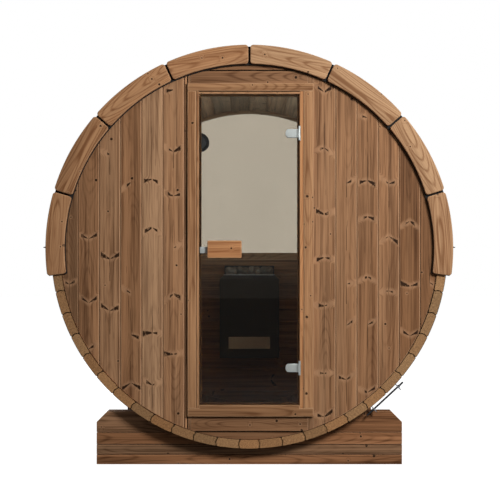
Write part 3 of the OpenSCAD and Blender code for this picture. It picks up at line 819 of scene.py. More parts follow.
def cross_boards(name, node, rows, sign, tone):
    """Level boards over or under the door frame between two upright side strips. Rows are the
    joints' heights from the frame outwards, and sign turns them over for the lower panel."""
    strip_left, strip_right = FRAME_LEFT + 0.0135, FRAME_RIGHT - 0.027
    pile = Pile()

    def board(outline, lightness, **more):
        plate(pile, outline if sign > 0 else flipped(outline, 1, -1), WALL_FRONT, WALL_BACK,
              tone=(tone, lightness), **more)

    for x0, x1 in ((FRAME_LEFT, strip_left), (strip_right, FRAME_RIGHT)):
        x = spread(x0 + FIT, x1 - FIT, 6)
        board(between(x, np.full(len(x), rows[0]), chord(x)), 0.3)
    for z0, z1 in zip(rows[:-1], rows[1:]):
        half = chord(z0) - 0.002
        x = spread(max(strip_left + FIT, -half), min(strip_right - FIT, half), 30)
        outline = between(x, np.full(len(x), z0 + FIT), np.minimum(chord(x), z1 - FIT))
        board(outline, 0.4, grain=grain_across, ease=0.0022)
    piece(name, pile, [CROSS], "barrel", [node])


def frame_member(pile, x0, x1, z0, z1, y0, grain, ease=0.0025, tone=0.0):
    """A rectangular bar from y0 back to the wall's rear face."""
    plate(pile, rectangle(x0, x1, z0, z1), y0, WALL_BACK, grain=grain, ease=ease, steps=2,
          tone=(tone, 0.0))


def door_frame():
    """Head, sill and posts, the head and both posts with a raised inner strip, and the stops behind
    the glass.
    """
    head, sill, latch, hinge, stops = Pile(), Pile(), Pile(), Pile(), Pile()
    strip_left, strip_right = DOORWAY_LEFT - LATCH_STRIP, DOORWAY_RIGHT + HINGE_STRIP
    strip_top = POST_TOP - 1.8 * STRIP_GAP
    frame_member(head, FRAME_LEFT, FRAME_RIGHT, POST_TOP + FIT, FRAME_TOP, FRAME_Y, grain_across,
                 tone=-0.4)
    frame_member(head, DOORWAY_LEFT + FIT, DOORWAY_RIGHT - FIT, DOORWAY_TOP, strip_top, STRIP_Y,
                 grain_across, 0.0015)
    shoulder, left, right = POST_BOTTOM - FIT, DOORWAY_LEFT + FIT, DOORWAY_RIGHT - FIT
    sill_outline = np.array([
        (FRAME_LEFT, FRAME_BOTTOM), (FRAME_RIGHT, FRAME_BOTTOM), (FRAME_RIGHT, shoulder),
        (right, shoulder), (right, DOORWAY_BOTTOM), (left, DOORWAY_BOTTOM), (left, shoulder),
        (FRAME_LEFT, shoulder)])
    # The sill's low lightness is painted shade: the frame darker towards the bottom.
    plate(sill, sill_outline, FRAME_Y, WALL_BACK, grain=grain_across, ease=0.0025, steps=2,
          tone=(-1.5, 0.2))
    frame_member(latch, FRAME_LEFT, strip_left, POST_BOTTOM, POST_TOP, FRAME_Y, grain_up, tone=-0.1)
    frame_member(latch, strip_left + STRIP_GAP, DOORWAY_LEFT, POST_BOTTOM, POST_TOP, STRIP_Y,
                 grain_up, 0.0015)
    frame_member(hinge, strip_right, FRAME_RIGHT, POST_BOTTOM, POST_TOP, FRAME_Y, grain_up,
                 tone=0.2)
    leaf_low, leaf_high = corners("hinge_leaves")
    half_leaf, seat_x = LEAF_HALF + FIT, DOORWAY_RIGHT + LEAF_T + 2 * FIT
    middles = (leaf_low[2] - AXIS_Z + LEAF_HALF, leaf_high[2] - AXIS_Z - LEAF_HALF)
    notched = [(strip_right - STRIP_GAP, POST_BOTTOM), (strip_right - STRIP_GAP, POST_TOP),
               (DOORWAY_RIGHT, POST_TOP)]
    for z in reversed(middles):
        notched += [(DOORWAY_RIGHT, z + half_leaf), (seat_x, z + half_leaf),
                    (seat_x, z - half_leaf), (DOORWAY_RIGHT, z - half_leaf)]
    notched.append((DOORWAY_RIGHT, POST_BOTTOM))
    plate(hinge, np.array(notched), STRIP_Y, WALL_BACK, ease=0.0012, margin=0.001)
    for z in middles:
        frame_member(hinge, DOORWAY_RIGHT, seat_x, z - half_leaf, z + half_leaf,
                     leaf_high[1] + FIT, grain_up, 0.0004)
    stop_low, stop_high = corners("door_stops")
    wide = 0.012
    bars = [(stop_low[0], stop_high[0], DOORWAY_TOP - wide, DOORWAY_TOP - FIT, grain_across),
            (stop_low[0], stop_high[0], DOORWAY_BOTTOM + FIT, DOORWAY_BOTTOM + wide,
             grain_across)]
    bars += [(x, x + wide, DOORWAY_BOTTOM + wide + FIT, DOORWAY_TOP - wide - FIT, grain_up)
             for x in (stop_low[0], stop_high[0] - wide)]
    for x0, x1, z0, z1, grain in bars:
        plate(stops, rectangle(x0, x1, z0, z1), stop_low[1], stop_high[1], grain=grain,
              ease=0.002, steps=2, tone=-3.2)
    for name, pile, node in (("frame_head", head, "door_frame_head"),
                             ("frame_sill", sill, "door_frame_sill"),
                             ("latch_post", latch, "door_post_latch"),
                             ("hinge_post", hinge, "door_post_hinge"),
                             ("stop_bars", stops, "door_stops")):
        piece(name, pile, [FRAME], "barrel", [node])


# ---- door ----

PIVOT = next(np.array(j["pos_m"]) for j in frame["joints"] if j["name"] == "door_hinge")
GLASS_LOW, GLASS_HIGH = corners("door_glass")
KNUCKLE_R, PIN_R = 0.006, 0.003


def clamp_outline(x0, x1, z, half):
    """Straight sides with a nose cut in facets of a half ellipse."""
    a = np.linspace(math.pi / 2, 1.5 * math.pi, 9)
    nose = np.stack([x0 + 0.7 * half + 0.7 * half * np.cos(a), z + half * np.sin(a)], 1)
    return np.concatenate([[(x1, z - half), (x1, z + half)], nose])


def upright_rod(pile, radius, z0, z1):
    """A round rod on the door's pivot line."""
    fitting(pile, circle(radius, 32, PIVOT[:2]), z0, z1, place=upright)


def hinges():
    """Clamps on the glass with a raised inner panel, and leaves let into the post."""
    leaves = Pile()
    front, back, ends = GLASS_LOW[1], GLASS_HIGH[1], PIVOT[0] - KNUCKLE_R
    clamp_t, raised, ear, x0 = 0.008, 0.0012, 0.0145, DOORWAY_RIGHT + FIT
    for name in ("upper", "lower"):
        low, high = corners("hinge_clamp_" + name)
        z, half = (low[2] + high[2]) / 2 - AXIS_Z, (high[2] - low[2]) / 2
        clamp = Pile()
        fitting(clamp, clamp_outline(low[0], ends, z, half), front - clamp_t, front - FIT,
                0.0015, 0.0006, 3)
        fitting(clamp, clamp_outline(low[0] + 0.009, ends - 0.007, z, half - 0.008),
                front - clamp_t - raised, front - clamp_t + 0.0002, 0.0009, 0.0004)
        fitting(clamp, clamp_outline(low[0], DOORWAY_RIGHT - 0.017, z, half), back + FIT,
                back + clamp_t, 0.0015, 0.0006, 3)
        upright_rod(clamp, KNUCKLE_R, z - half, z + half)
        fitting(clamp, rectangle(ends - 0.004, PIVOT[0] - 0.002, z - half, z + half),
                PIVOT[1] - 0.003, front - FIT)
        piece("clamp_" + name, clamp, [CHROME], "door",
              ["hinge_clamp_" + name])
        bottom, top = z - LEAF_HALF, z + LEAF_HALF
        fitting(leaves, rectangle(x0, x0 + LEAF_T, bottom, top), STRIP_Y, STRIP_Y + 0.034)
        for z0 in (bottom, top - ear):
            upright_rod(leaves, KNUCKLE_R, z0, z0 + ear)
            fitting(leaves, rectangle(x0, x0 + LEAF_T, z0, z0 + ear), PIVOT[1],
                    STRIP_Y + 0.001, 0.0005)
        upright_rod(leaves, PIN_R, bottom, top)
    piece("leaves", leaves, [CHROME], "barrel", ["hinge_leaves"])


def door_pane():
    """The glass door, with rounded corners."""
    pane = Pile()
    fitting(pane, front_view(GLASS_LOW, GLASS_HIGH, 0.004), GLASS_LOW[1], GLASS_HIGH[1],
            0.0012, 0.0005)
    piece("door_pane", pane, [DOOR_GLASS], "door", ["door_glass"])


def handles():
    """A wooden grip on two round feet on each side of the glass, bolted through it."""
    foot, foot_r, bolt_r = 0.012, 0.012, 0.0055
    for name, front in (("outer", True), ("inner", False)):
        low, high = corners("door_handle_" + name)
        grip = Pile()
        near = GLASS_LOW[1] - FIT if front else GLASS_HIGH[1] + FIT
        y0, y1 = (low[1], near - foot + FIT) if front else (near + foot - FIT, high[1])
        plate(grip, front_view(low, high, 0.006), y0, y1, grain=grain_across, ease=0.004,
              steps=4, tone=0.2)
        middle, z = (low[0] + high[0]) / 2, (low[2] + high[2]) / 2 - AXIS_Z
        step = (high[0] - low[0]) * 0.28
        for x in (middle - step, middle + step):
            ys = (y1, near) if front else (near, y0)
            plate(grip, circle(foot_r, 32, (x, z)), *ys, grain=grain_across, ease=0.001,
                  margin=0.0008, tone=-0.3)
            if not front:
                fitting(grip, circle(bolt_r, 24, (x, z)), high[1] - 0.0006, high[1], 0.0002,
                        0.0001, finish=1)
        piece("grip_" + name, grip, [HANDLE, CHROME], "door",
              ["door_handle_" + name])


def catch():
    """A plate on each side of the glass, the outer one with a raised middle."""
    low, high = corners("door_catch")
    z0, z1 = low[2] - AXIS_Z, high[2] - AXIS_Z
    raised, brim = 0.002, 0.006
    pile = Pile()
    fitting(pile, front_view(low, high, 0.003), low[1] + raised, GLASS_LOW[1] - FIT, 0.0018,
            0.0006, 3)
    fitting(pile, rectangle(low[0] + 0.005, high[0] - brim, z0 + brim, z1 - brim, 0.002),
            low[1], low[1] + raised + 0.0005, 0.001, 0.0005, 2)
    fitting(pile, rectangle(low[0] + 0.012, high[0], z0, z1, 0.003), GLASS_HIGH[1] + FIT,
            high[1], 0.0018, 0.0006, 3)
    piece("catch_plates", pile, [CHROME], "door", ["door_catch"])


# ---- rear wall ----

REAR_LOW, REAR_HIGH = corners("rear_wall_boards")
RAIL_LOW, RAIL_HIGH = corners("rear_window_rail")
RAIL_BOTTOM, RAIL_TOP = RAIL_LOW[2] - AXIS_Z, RAIL_HIGH[2] - AXIS_Z
PANE_LOW, PANE_HIGH = corners("rear_window_glass")


def rear_wall():
    """Level boards up to a rail, the pane standing in the rail, its bead and the vent."""
    lowest, pitch, shortest = -0.888, 0.153, 0.02
    joints = np.append(np.arange(lowest, RAIL_BOTTOM - shortest, pitch), RAIL_BOTTOM + 0.002)
    joints = np.insert(joints, 0, -WALL_R + 0.0006)
    boards, rail, pane = Pile(), Pile(), Pile()
    slats(boards, joints, REAR_LOW[1], REAR_HIGH[1], level, grain_across, 0.0026)
    piece("rear_boards", boards, [WALL], "barrel", ["rear_wall_boards"])
    seat = 0.0095
    for y0, y1, top in ((RAIL_LOW[1], PANE_LOW[1] - FIT, RAIL_TOP),
                        (PANE_LOW[1] - FIT, RAIL_HIGH[1], RAIL_TOP - seat - FIT)):
        z = np.linspace(RAIL_BOTTOM, top, 3)
        plate(rail, between(z, -chord(z), chord(z)), y0, y1, level, grain_across, 0.0012,
              margin=0.001, tone=0.1)
    piece("window_rail", rail, [FRAME], "barrel", ["rear_window_rail"])
    half = chord(PANE_LOW[2] - AXIS_Z)
    x = spread(-half, half, 96)
    outline = between(x, np.full(len(x), PANE_LOW[2] - AXIS_Z), chord(x))
    fitting(pane, outline, PANE_LOW[1], PANE_HIGH[1], 0.001, 0.0005)
    piece("window_pane", pane, [WINDOW_GLASS], "barrel", ["rear_window_glass"])
    window_bead()
    vent()


def arc_board(pile, centre_z, a0, a1, r0, r1, y0, y1, corner, ease, tone=None):
    """A curved board: a section with rounded corners carried round an arc from a0 to a1. At
    distance d from an end, both long edges draw in by c - sqrt(c^2 - (c - d)^2), the rounded
    corner, and both faces draw in likewise over the ease."""
    radius = (r0 + r1) / 2
    length = (a1 - a0) * radius
    bend = corner * (1 - np.cos(np.linspace(0, math.pi / 2, 9)))
    middle = np.linspace(corner, length - corner, 22)[1:-1]
    d = np.concatenate([bend, middle, (length - bend)[::-1]])
    end = np.minimum(d, length - d)
    width_in = corner - np.sqrt(np.maximum(corner ** 2 - np.maximum(corner - end, 0) ** 2, 0))
    face_in = ease - np.sqrt(np.maximum(ease ** 2 - np.maximum(ease - end, 0) ** 2, 0))
    t = np.linspace(0, math.pi / 2, 5)
    turn = np.concatenate([t, t + math.pi / 2, t + math.pi, t + 1.5 * math.pi])
    side_r = np.repeat([1, -1, -1, 1], len(t))
    side_y = np.repeat([1, 1, -1, -1], len(t))
    half_r = (r1 - r0) / 2 - width_in[:, None]
    half_y = (y1 - y0) / 2 - face_in[:, None]
    r = radius + side_r * (half_r - ease) + ease * np.cos(turn)
    y = (y0 + y1) / 2 + side_y * (half_y - ease) + ease * np.sin(turn)
    rings = round_axis(r, (a0 + d / radius)[:, None], y, centre_z)
    edge = np.broadcast_to(np.sin(2 * np.tile(t, 4)), rings.shape[:2])
    edge = np.maximum(edge, (1 - np.clip(end / ease, 0, 1))[:, None])
    tone = rng.uniform(-1, 1, 2) if tone is None else tone
    pile.add(rings, grain_chord(rings, (a0 + a1) / 2), edge, tone)


def window_bead():
    """Eight short arc boards that hold the rear pane."""
    low, high = corners("rear_window_bead")
    outer, wide = R_IN - FIT, 0.022
    a0 = math.asin((RAIL_TOP + FIT) / (outer - wide))
    steps = 8
    pile = Pile()
    for i in range(steps):
        step = (math.pi - 2 * a0) / steps
        arc_board(pile, 0, a0 + i * step, a0 + (i + 1) * step, outer - wide, outer, low[1],
                  high[1], 0.003, 0.003)
    piece("window_bead", pile, [FRAME], "barrel", ["rear_window_bead"])


def vent():
    """Round vent: a flange, a raised rim, a gap and a domed valve disc, turned from a profile."""
    low, high = corners("rear_vent")
    x, z = (low[0] + high[0]) / 2, (low[2] + high[2]) / 2 - AXIS_Z
    r = (high[0] - low[0]) / 2
    pile = Pile()
    for face, into, pane in ((low[1], 1, PANE_LOW[1] - FIT), (high[1], -1, PANE_HIGH[1] + FIT)):
        deep = abs(pane - face)
        lathe(pile, [(0.001, pane - into * 0.001), (r - 0.004, pane - into * 0.0005),
                     (r, pane - into * 0.002), (r, face + into * 0.004),
                     (r - 0.002, face + into * 0.001), (r - 0.005, face),
                     (r - 0.010, face), (r - 0.013, face + into * 0.002),
                     (r - 0.014, face + into * deep * 0.75),
                     (0.001, face + into * deep * 0.78)], x, z)
        lathe(pile, [(0.001, face + into * deep * 0.70), (r * 0.62, face + into * deep * 0.66),
                     (r * 0.70, face + into * deep * 0.5), (r * 0.70, face + into * deep * 0.3),
                     (r * 0.66, face + into * 0.0016), (r * 0.4, face + into * 0.0008),
                     (0.001, face + into * 0.0004)], x, z, finish=1)
    lathe(pile, [(0.001, PANE_LOW[1] - FIT), (r - 0.013, PANE_LOW[1] - FIT),
                 (r - 0.013, PANE_HIGH[1] + FIT), (0.001, PANE_HIGH[1] + FIT)], x, z)
    piece("vent_valve", pile, [VENT, VENT_FACE], "barrel", ["rear_vent"])


# ---- arched trim ----

TRIM_RISE, TRIM_PITCH, TRIM_GAP, TRIM_COUNT = 0.010, math.radians(24.5), 0.0095, 8
TRIM_WIDE = 0.096
# Each trim board's lightness and redness, from the lower right round to the lower left. The
# lightness is partly painted light: the boards on the right lighter, those on the left darker.
TRIM_TONES_AND_LIGHT = [(0.1, -0.6), (0.3, -0.9), (0.3, -0.9), (0.6, -0.9), (-0.2, 0.3), (-0.3, 0.3),
              (-1.0, 0.3), (-0.8, 0.4)]


def arch_trims():
    """Curved boards over each end, and black sheets that paint shade behind their joints, along
    their inner edge and in the staves' lips.
    """
    for name in ("front", "rear"):
        low, high = corners(name + "_arch_trim")
        r1 = high[2] - AXIS_Z - TRIM_RISE
        r0 = r1 - TRIM_WIDE
        start = math.pi / 2 - TRIM_COUNT * TRIM_PITCH / 2
        cut = TRIM_GAP / r0 / 2
        pile = Pile()
        for i in range(TRIM_COUNT):
            arc_board(pile, TRIM_RISE, start + i * TRIM_PITCH + cut,
                      start + (i + 1) * TRIM_PITCH - cut, r0, r1, low[1], high[1], 0.015, 0.005,
                      TRIM_TONES_AND_LIGHT[i])
        piece(name + "_trim_boards", pile, [TRIM], "barrel",
              [name + "_arch_trim"])
        face, into = (high[1], -1) if name == "front" else (low[1], 1)
        a = np.linspace(start + 0.004, math.pi - start - 0.004, 97)[:, None]
        r = np.array([r0 - 0.004, r1 - 0.006, r1 - 0.006, r0 - 0.004])
        y = face + into * np.array([0.0002, 0.0002, 0.0014, 0.0014])
        # Black sheets as painted shade: behind the trims and 4 mm past their inner edge, and rings
        # in the staves' lips.
        shade_sheets = Pile()
        shade_sheets.add(round_axis(r, a, y, TRIM_RISE))
        turn = np.linspace(0, 2 * math.pi, 240, endpoint=False)[:, None]
        end = FRONT_Y if name == "front" else BACK_Y
        for lip in (R_IN + 0.0002, R_OUT - 0.0062):
            r = lip + np.array([0, 0.006, 0.006, 0])
            y = end - into * np.array([0.003, 0.003, 0.005, 0.005])
            shade_sheets.add(round_axis(r, turn, y), loop=True)
        piece(name + "_trim_felt", shade_sheets, [SHADE_SHEET_BLACK], "barrel")


# ---- roof covering ----

ROOF_R = R_OUT + 0.0018


def shingle(pile, s0, s1, y0, y1, base, lift, thick, side):
    """A tab wrapped on the barrel. Its underside is lift (1 - t) over the base, t running from
    its lower edge at arc length s0 to its upper edge at s1, and its top is thick above that."""
    t = np.linspace(0, 1, 6)[:, None]
    s = s0 + t * (s1 - s0)
    under = base + lift * (1 - t)
    y = np.array([y0 + 0.004, y0, y0, y0 + 0.002, y1 - 0.002, y1, y1, y1 - 0.004])
    r = under + thick * np.array([0, 0, 0.7, 1, 1, 0.7, 0, 0])
    rings = round_axis(r, s / base, y) * (side, 1, 1)
    grain = np.stack([np.broadcast_to(s, r.shape), rings[..., 1], r], axis=-1)
    pile.add(rings, grain + rng.uniform(-3, 3, 3), tone=rng.uniform(-1, 1))


def covering():
    """Courses of felt tabs laid like tiles from the drip edge to the crown, each course shifted
    by half a tab, with a row of caps over the crown."""
    low, high = corners("roof_covering")
    base = ROOF_R
    thick = high[2] - AXIS_Z - base
    start = math.asin((low[2] - AXIS_Z) / (base + thick)) * base
    total = math.pi / 2 * base - start
    courses, overlap, tab, lift, felt_t = 11, 0.06, 0.3, 0.007, 0.0036
    exposure = total / courses
    pile = Pile()
    for side in (-1, 1):
        for i in range(courses):
            s0 = start + i * exposure
            s1 = min(s0 + exposure + overlap, math.pi / 2 * base - 0.0004)
            for y0 in np.arange(FRONT_Y - (i % 2) * tab / 2, BACK_Y, tab):
                a, b = max(y0, FRONT_Y) + 0.002, min(y0 + tab, BACK_Y) - 0.002
                shingle(pile, s0, s1, a, b, base, lift, felt_t, side)
    caps, half_cap = 9, 0.11
    run = (BACK_Y - FRONT_Y) / caps
    for i in range(caps):
        a = np.linspace(math.pi / 2 - half_cap / base, math.pi / 2 + half_cap / base, 13)
        y0 = FRONT_Y + i * run
        ends = np.array([y0 + 0.001, y0 + run - 0.001])
        bottom, top = base + 0.0098, base + np.array([0.0122, 0.0158])
        r = np.array([bottom, bottom + 0.0012, top[1], top[0]])
        y = np.array([ends[0], ends[1], ends[1], ends[0]])
        pile.add(round_axis(r, a[:, None], y), tone=rng.uniform(-1, 1))
    piece("covering_tabs", pile, [COVERING], "barrel", ["roof_covering"], 28)
    gable_strips(start / base)
    drips()


def gable_strips(start):
    """Folded edge strips at both ends of the covering: an upright leg behind the arched boards,
    a rounded nose and a leg lying over the tabs, carried round the arc."""
    a = np.linspace(start, math.pi - start, 97)[:, None]
    r0, r1, lies, thin, wide = R_OUT + 0.002, R_OUT + 0.0265, R_OUT + 0.0165, 0.0016, 0.045
    d = np.array([0, 0, 0.001, 0.004, 0.006, wide, wide, 0.005, thin + 0.0008, thin])
    r = np.array([r0, r1 - 0.001, r1, r1, lies + 0.003, lies + 0.001, lies, lies, lies - 0.002,
                  r0])
    pile = Pile()
    for y0, into in ((FRONT_Y, 1), (BACK_Y, -1)):
        pile.add(round_axis(r, a, y0 + into * d))
    piece("gable_edge_strips", pile, [BLACK_METAL], "barrel")


def drips():
    """Edge strips: a leg under the covering and a lip with a filled nose."""
    low, high = corners("drip_edges")
    top = corners("roof_covering")[0][2] - AXIS_Z - FIT
    tip, bottom, thin = high[0], low[2] - AXIS_Z, 0.003
    inner = math.sqrt(ROOF_R ** 2 - top ** 2)
    bend = tip - 0.023
    pile = Pile()
    right = np.array([
        (inner, top), (inner, top - thin), (bend - 0.001, top - thin), (bend, bottom),
        (tip - 0.0015, bottom), (tip, bottom + 0.0008), (tip, bottom + 0.003),
        (tip - 0.001, bottom + 0.0038), (bend + 0.005, top)])
    for outline in (right, flipped(right)):
        fitting(pile, outline, FRONT_Y, BACK_Y, 0.0004)
    piece("drip_strips", pile, [BLACK_METAL], "barrel", ["drip_edges"])


# ---- bands and tensioners ----

def bands():
    """Two thin steel bands, open between the lugs of their tensioners."""
    lug_angle = math.asin(LUG_SPAN / 2 / (R_OUT + 0.0015))
    lugs, rods = Pile(), Pile()
    for name in ("front", "rear"):
        low, high = corners("band_" + name)
        thick = 0.0012
        inner = R_OUT + FIT / 2
        a = np.linspace(-TENSION_A + lug_angle, 2 * math.pi - TENSION_A - lug_angle, 181)
        y = np.array([low[1] + 0.001, low[1], low[1] + 0.001, high[1] - 0.001, high[1],
                      high[1] - 0.001])
        r = inner + thick * np.array([0, 0.5, 1, 1, 0.5, 0])
        pile = Pile()
        pile.add(round_axis(r, a[:, None], y))
        piece("band_strip_" + name, pile, [STEEL], "barrel", ["band_" + name])
        tensioner(lugs, rods, (low[1] + high[1]) / 2, lug_angle, inner + thick)
    piece("lug_brackets", lugs, [STEEL], "barrel", ["band_lugs"])
    piece("threaded_rods", rods, [ROD_STEEL], "barrel", ["tension_rods"])


def tensioner(lugs, rods, y, lug_angle, band_r):
    """Two lugs with feet riveted on the band, and a threaded rod with nuts through them."""
    lug_t, lug_h, half, rod_r = 0.005, 0.045, 0.011, 0.005
    rod_u = math.sqrt(band_r ** 2 - (LUG_SPAN / 2) ** 2) + 0.026
    base = math.sqrt(band_r ** 2 - (LUG_SPAN / 2 + lug_t) ** 2) + 0.0012
    for side in (-1, 1):
        w = side * LUG_SPAN / 2
        outline = rectangle(base, base + lug_h, y - half, y + half, 0.006)
        fitting(lugs, outline, w - lug_t / 2, w + lug_t / 2, 0.0008, 0.0004, 1, at_tensioner)
        foot = side * np.linspace(lug_angle, lug_angle + 0.042, 6)
        r = band_r + np.array([0.0002, 0.0002, 0.0032, 0.0032])
        ys = y + half * np.array([-1, 1, 1, -1])
        lugs.add(round_axis(r, foot[:, None] - TENSION_A, ys))
        nut_w = (w + side * (lug_t / 2 + FIT), w + side * (lug_t / 2 + 0.0067))
        a = np.arange(6) * math.pi / 3
        hexagon = 0.0074 * np.stack([np.cos(a), np.sin(a)], 1) + (rod_u, y)
        fitting(rods, hexagon, min(nut_w) + 0.0006, max(nut_w), 0.0008, 0.0004, 1,
                at_tensioner)
        washer = sorted((nut_w[0], nut_w[0] + side * 0.0014))
        fitting(rods, circle(0.0085, 24, (rod_u, y)), *washer, 0.0003, 0.0002, 1, at_tensioner)
    thread(rods, rod_u, y, rod_r)


def thread(pile, u, v, radius):
    """A screw thread: the radius is r - depth |2 frac(w / pitch + a / 2 pi) - 1| at angle a
    and place w along the rod."""
    low, high, pitch, depth = -0.132, 0.118, 0.0015, 0.0008
    a = np.linspace(0, 2 * math.pi, 16, endpoint=False)
    w = np.arange(low, high, pitch / 4)[:, None]
    wave = np.abs(2 * ((w / pitch + a / (2 * math.pi)) % 1) - 1)
    r = radius - depth * wave
    rings = at_tensioner(u + r * np.cos(a), v + r * np.sin(a), w)
    pile.add(rings)


# ---- cradles ----

def cradles():
    """Each cradle is glued up from level planks. Their ends are cut at the shoulders, and their
    upper edges follow the barrel."""
    saddle_r, seam = R_OUT + FIT, 0.0018
    for name in ("front", "rear"):
        low, high = corners("cradle_" + name)
        half, cut = high[0], 0.054
        top = high[2] - AXIS_Z
        levels = np.array([0, 0.051, 0.102, 0.165]) - AXIS_Z
        levels = np.append(levels, top)
        pile = Pile()
        for z0, z1 in zip(levels[:-1], levels[1:]):
            sit = -chord(0, saddle_r)
            z0, z1 = z0 + (seam if z0 > -AXIS_Z else 0), z1 - (seam if z1 < top else 0)
            inner = chord(z0, saddle_r) if z0 > sit else 0
            reach = [half, half - max(cut - (top - z1), 0)]
            for side in ((-1, 1) if inner else (0,)):
                start = inner if side else -half
                x = np.unique(np.concatenate([np.linspace(start, half, 60), reach,
                                              [half - cut, 0.0 if not side else start]]))
                slope = np.minimum(z1, top - cut + half - np.abs(x))
                upper = np.minimum(slope, -chord(x, saddle_r) if z1 > sit else z1)
                upper = np.where(np.abs(x) > saddle_r, slope, upper)
                keep = upper > z0 + 0.0008
                outline = between(x[keep], np.full(keep.sum(), z0), upper[keep])
                if side < 0:
                    outline = flipped(outline)
                plate(pile, outline, low[1], high[1], grain=grain_across, ease=0.0012,
                      margin=0.0012)
        piece("cradle_planks_" + name, pile, [CRADLE], "barrel",
              ["cradle_" + name])


# ---- heater ----

def heater():
    """An open case with bevelled shoulders, its bright rim and vent holes, a plate behind the
    stones, a light panel in front and two arms to the wall."""
    low, high = corners("heater_case")
    splash_h, shoulder, slope = 0.062, 0.026, 0.024
    top = high[2] - AXIS_Z - splash_h
    bottom = low[2] - AXIS_Z
    wall, basket = 0.010, 0.090

    def ring(z, side_in, front_in, back_in=0.0):
        outline = rectangle(low[0] + side_in, high[0] - side_in, low[1] + front_in,
                            high[1] - back_in, 0.006)
        return upright(*outline.T, z)

    case = Pile()
    case.add(np.stack([ring(*row) for row in (
        (bottom, 0.004, 0.004, 0.004), (bottom + 0.004, 0, 0), (top - shoulder, 0, 0),
        (top - 0.002, slope - 0.001, slope - 0.001),
        (top, slope + 0.001, slope + 0.001, 0.001),
        (top, slope + wall - 0.001, slope + wall - 0.001, wall - 0.001),
        (top - 0.002, slope + wall, slope + wall, wall),
        (top - basket, slope + wall, slope + wall, wall))]))
    fitting(case, rectangle(low[0] + slope, high[0] - slope, top - 0.01, top + splash_h, 0.006),
            high[1] - 0.006, high[1] - 0.0005, 0.001, 0.0005)
    for x in np.arange(-0.15, 0.1501, 0.015):
        fitting(case, circle(0.0036, 12, (x, top - 0.018)), low[1] + 0.0165, low[1] + 0.022,
                0.0004, finish=1)
    rim = np.stack([ring(top + h, slope + i, slope + i, j) for h, i, j in
                    ((0.0002, 0.0, 0.001), (0.003, 0.001, 0.002), (0.003, wall, wall - 0.001),
                     (0.0002, wall, wall))])
    case.add(rim, finish=2, loop=True)
    piece("heater_body", case, [HEATER, BLACK_METAL, PANEL], "barrel",
          ["heater_case"])
    stones(low[0] + slope + wall, high[0] - slope - wall, low[1] + slope + wall,
           high[1] - wall, top)
    panel = Pile()
    panel_low, panel_high = corners("heater_panel")
    fitting(panel, front_view(panel_low, panel_high, 0.003), low[1] - 0.0008, panel_high[1],
            0.0012, 0.0006, 2)
    piece("heater_plate", panel, [PANEL], "barrel", ["heater_panel"])
    arms = Pile()
    arm_low, arm_high = corners("heater_brackets")
    for x0 in (arm_low[0], arm_high[0] - 0.03):
        fitting(arms, rectangle(x0, x0 + 0.03, arm_low[2] - AXIS_Z, arm_high[2] - AXIS_Z, 0.004),
                arm_low[1], arm_high[1], 0.001, 0.0006)
    piece("heater_arms", arms, [STEEL], "barrel", ["heater_brackets"])


def stones(x0, x1, y0, y1, top):
    """Rough stones in three layers. Each is a sphere whose radius is
    r (1 + 0.18 sin(3a + p) sin(2b + q) + 0.1 sin(5a + 4b + p)), squeezed and turned at random."""
    pile = Pile()
    b = np.linspace(0.12, math.pi - 0.12, 9)[:, None]
    a = np.linspace(0, 2 * math.pi, 14, endpoint=False)
    columns, rows = 8, 6
    for layer in range(3):
        for i in range(columns):
            for j in range(rows):
                size = rng.uniform(0.019, 0.026)
                p, q, turn = rng.uniform(0, 2 * math.pi, 3)
                r = size * (1 + 0.18 * np.sin(3 * a + p) * np.sin(2 * b + q)
                            + 0.1 * np.sin(5 * a + 4 * b + p))
                wide, flat = rng.uniform(0.85, 1.25), rng.uniform(0.65, 0.95)
                u, v, w = r * np.sin(b) * np.cos(a) * wide, r * np.sin(b) * np.sin(a), (
                    r * np.cos(b) * flat)
                shift = rng.uniform(-0.004, 0.004, 2)
                x = x0 + (x1 - x0) * (i + 0.5 + 0.25 * (layer % 2)) / (columns + 0.25)
                y = y0 + (y1 - y0) * (j + 0.5) / rows
                x = np.clip(x + shift[0], x0 + 0.026, x1 - 0.026)
                y = np.clip(y + shift[1], y0 + 0.026, y1 - 0.026)
                z = AXIS_Z + top - 0.030 + 0.029 * layer + rng.uniform(-0.006, 0.006)
                rings = np.stack([x + u * math.cos(turn) - v * math.sin(turn),
                                  y + u * math.sin(turn) + v * math.cos(turn), z + w], axis=-1)
                pile.add(rings, tone=rng.uniform(-1, 1))
    piece("stone_heap", pile, [STONE], "barrel", ["heater_stones"], 50)


# ---- studio ----

def lamp(name, size, energy, target, toward, distance, tint=(1, 1, 1)):
    """A disk light at the distance from the target along toward, turned to face the target."""
    light = bpy.data.lights.new(name, "AREA")
    light.shape, light.size, light.energy, light.color = "DISK", size, energy, tint
    toward = np.array(toward)
    flat = math.hypot(toward[0], toward[1])
    made = bpy.data.objects.new(name, light)
    made.location = target + distance * toward / np.linalg.norm(toward)
    made.rotation_euler = (math.atan2(flat, toward[2]), 0, math.atan2(toward[0], -toward[1]))
    bpy.context.scene.collection.objects.link(made)
    return made


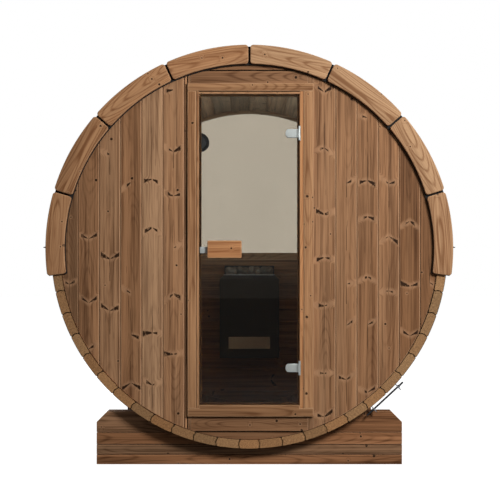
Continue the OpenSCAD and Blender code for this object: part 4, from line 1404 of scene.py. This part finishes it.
def floor_plane():
    """A pale floor, shown almost white to the camera and darker to all other rays."""
    far = 40.0
    mesh = bpy.data.meshes.new("floor")
    mesh.from_pydata([(-far, -far, 0), (far, -far, 0), (far, far, 0), (-far, far, 0)], [],
                     [(0, 1, 2, 3)])
    floor = bpy.data.objects.new("floor", mesh)
    bpy.context.scene.collection.objects.link(floor)
    material, g, sockets = blank("floor_pale")
    path = g.put("ShaderNodeLightPath")
    seen = path["Is Camera Ray"]
    pale = g.mix(g.noise(g.place(), (2, 2, 2), 2.0), (0.23, 0.23, 0.23, 1),
                 (0.26, 0.26, 0.26, 1))
    g.feed(sockets, {"Base Color": g.mix(seen, (0.14, 0.14, 0.14, 1), pale), "Roughness": 0.9,
                     "Specular IOR Level": 0.0, "Emission Color": (1, 1, 1, 1),
                     "Emission Strength": path["Is Glossy Ray"] * 0.07 + seen * 0.96})
    mesh.materials.append(material)


def surroundings():
    """A white world to the camera and through the panes, and a dim one as light. It is dimmest
    towards -Y, where the panes mirror it, and a ray that a pane has mirrored sees it dimmed."""
    world = bpy.data.worlds.new("studio")
    bpy.context.scene.world = world
    world.use_nodes = True
    g = Graph(world.node_tree)
    sky = world.node_tree.nodes["Background"].inputs
    path = g.put("ShaderNodeLightPath")
    mirrored = g.math("MINIMUM", path["Glossy Depth"], 1.0)
    seen = g.math("MAXIMUM", path["Is Camera Ray"],
                  path["Is Transmission Ray"] * (mirrored * -0.62 + 1.0))
    facing_front = g.vector("DOT_PRODUCT", g.put("ShaderNodeTexCoord")["Generated"], (0, -1, 0))
    fill = g.ramp(facing_front, 0.955, 0.985, 0.22, 0.10)
    g.feed(sky, {"Strength": seen * (1.0 - fill) + fill, "Color": (1, 1, 1, 1)})


def studio():
    """Floor, surroundings, a soft key light, one behind, a weak one inside, and the camera."""
    floor_plane()
    surroundings()
    lamp("key", 1.1, 182, (0, FRONT_Y, AXIS_Z), (11.5, -22.0, 9.0), 4.6)
    lamp("back", 3.0, 260, (0, BACK_Y, AXIS_Z), (-14.0, 22.0, 15.0), 5.5)
    inside = lamp("inside", 0.7, 24, (0, 0, AXIS_Z + 1.0), (0.0, -0.2, -1.0), 1.05,
                  (0.38, 0.64, 1.0))
    inside.visible_camera = inside.visible_glossy = inside.visible_transmission = False

    lens = bpy.data.cameras.new("camera")
    lens.lens, lens.sensor_width = 83, 36
    lens.shift_x, lens.shift_y = 0.0014, 0.0464
    camera = bpy.data.objects.new("camera", lens)
    camera.location = (0, -6.73, 0.983)
    camera.rotation_euler = (math.pi / 2, 0, 0)
    bpy.context.scene.collection.objects.link(camera)
    bpy.context.scene.camera = camera
    bpy.context.scene.view_settings.view_transform = "Standard"


studio()
barrel()
front_walls()
cross_boards("header_boards", "front_wall_header", [FRAME_TOP, 0.913, 1.0], 1, -1.0)
# The lower panel's lightness is lower than the header's: painted shade, darker towards the bottom.
cross_boards("lower_panel_boards", "front_wall_below_door", [-FRAME_BOTTOM, 0.916, 1.0], -1,
             -1.5)
door_frame()
hinges()
door_pane()
handles()
catch()
rear_wall()
arch_trims()
covering()
bands()
cradles()
heater()
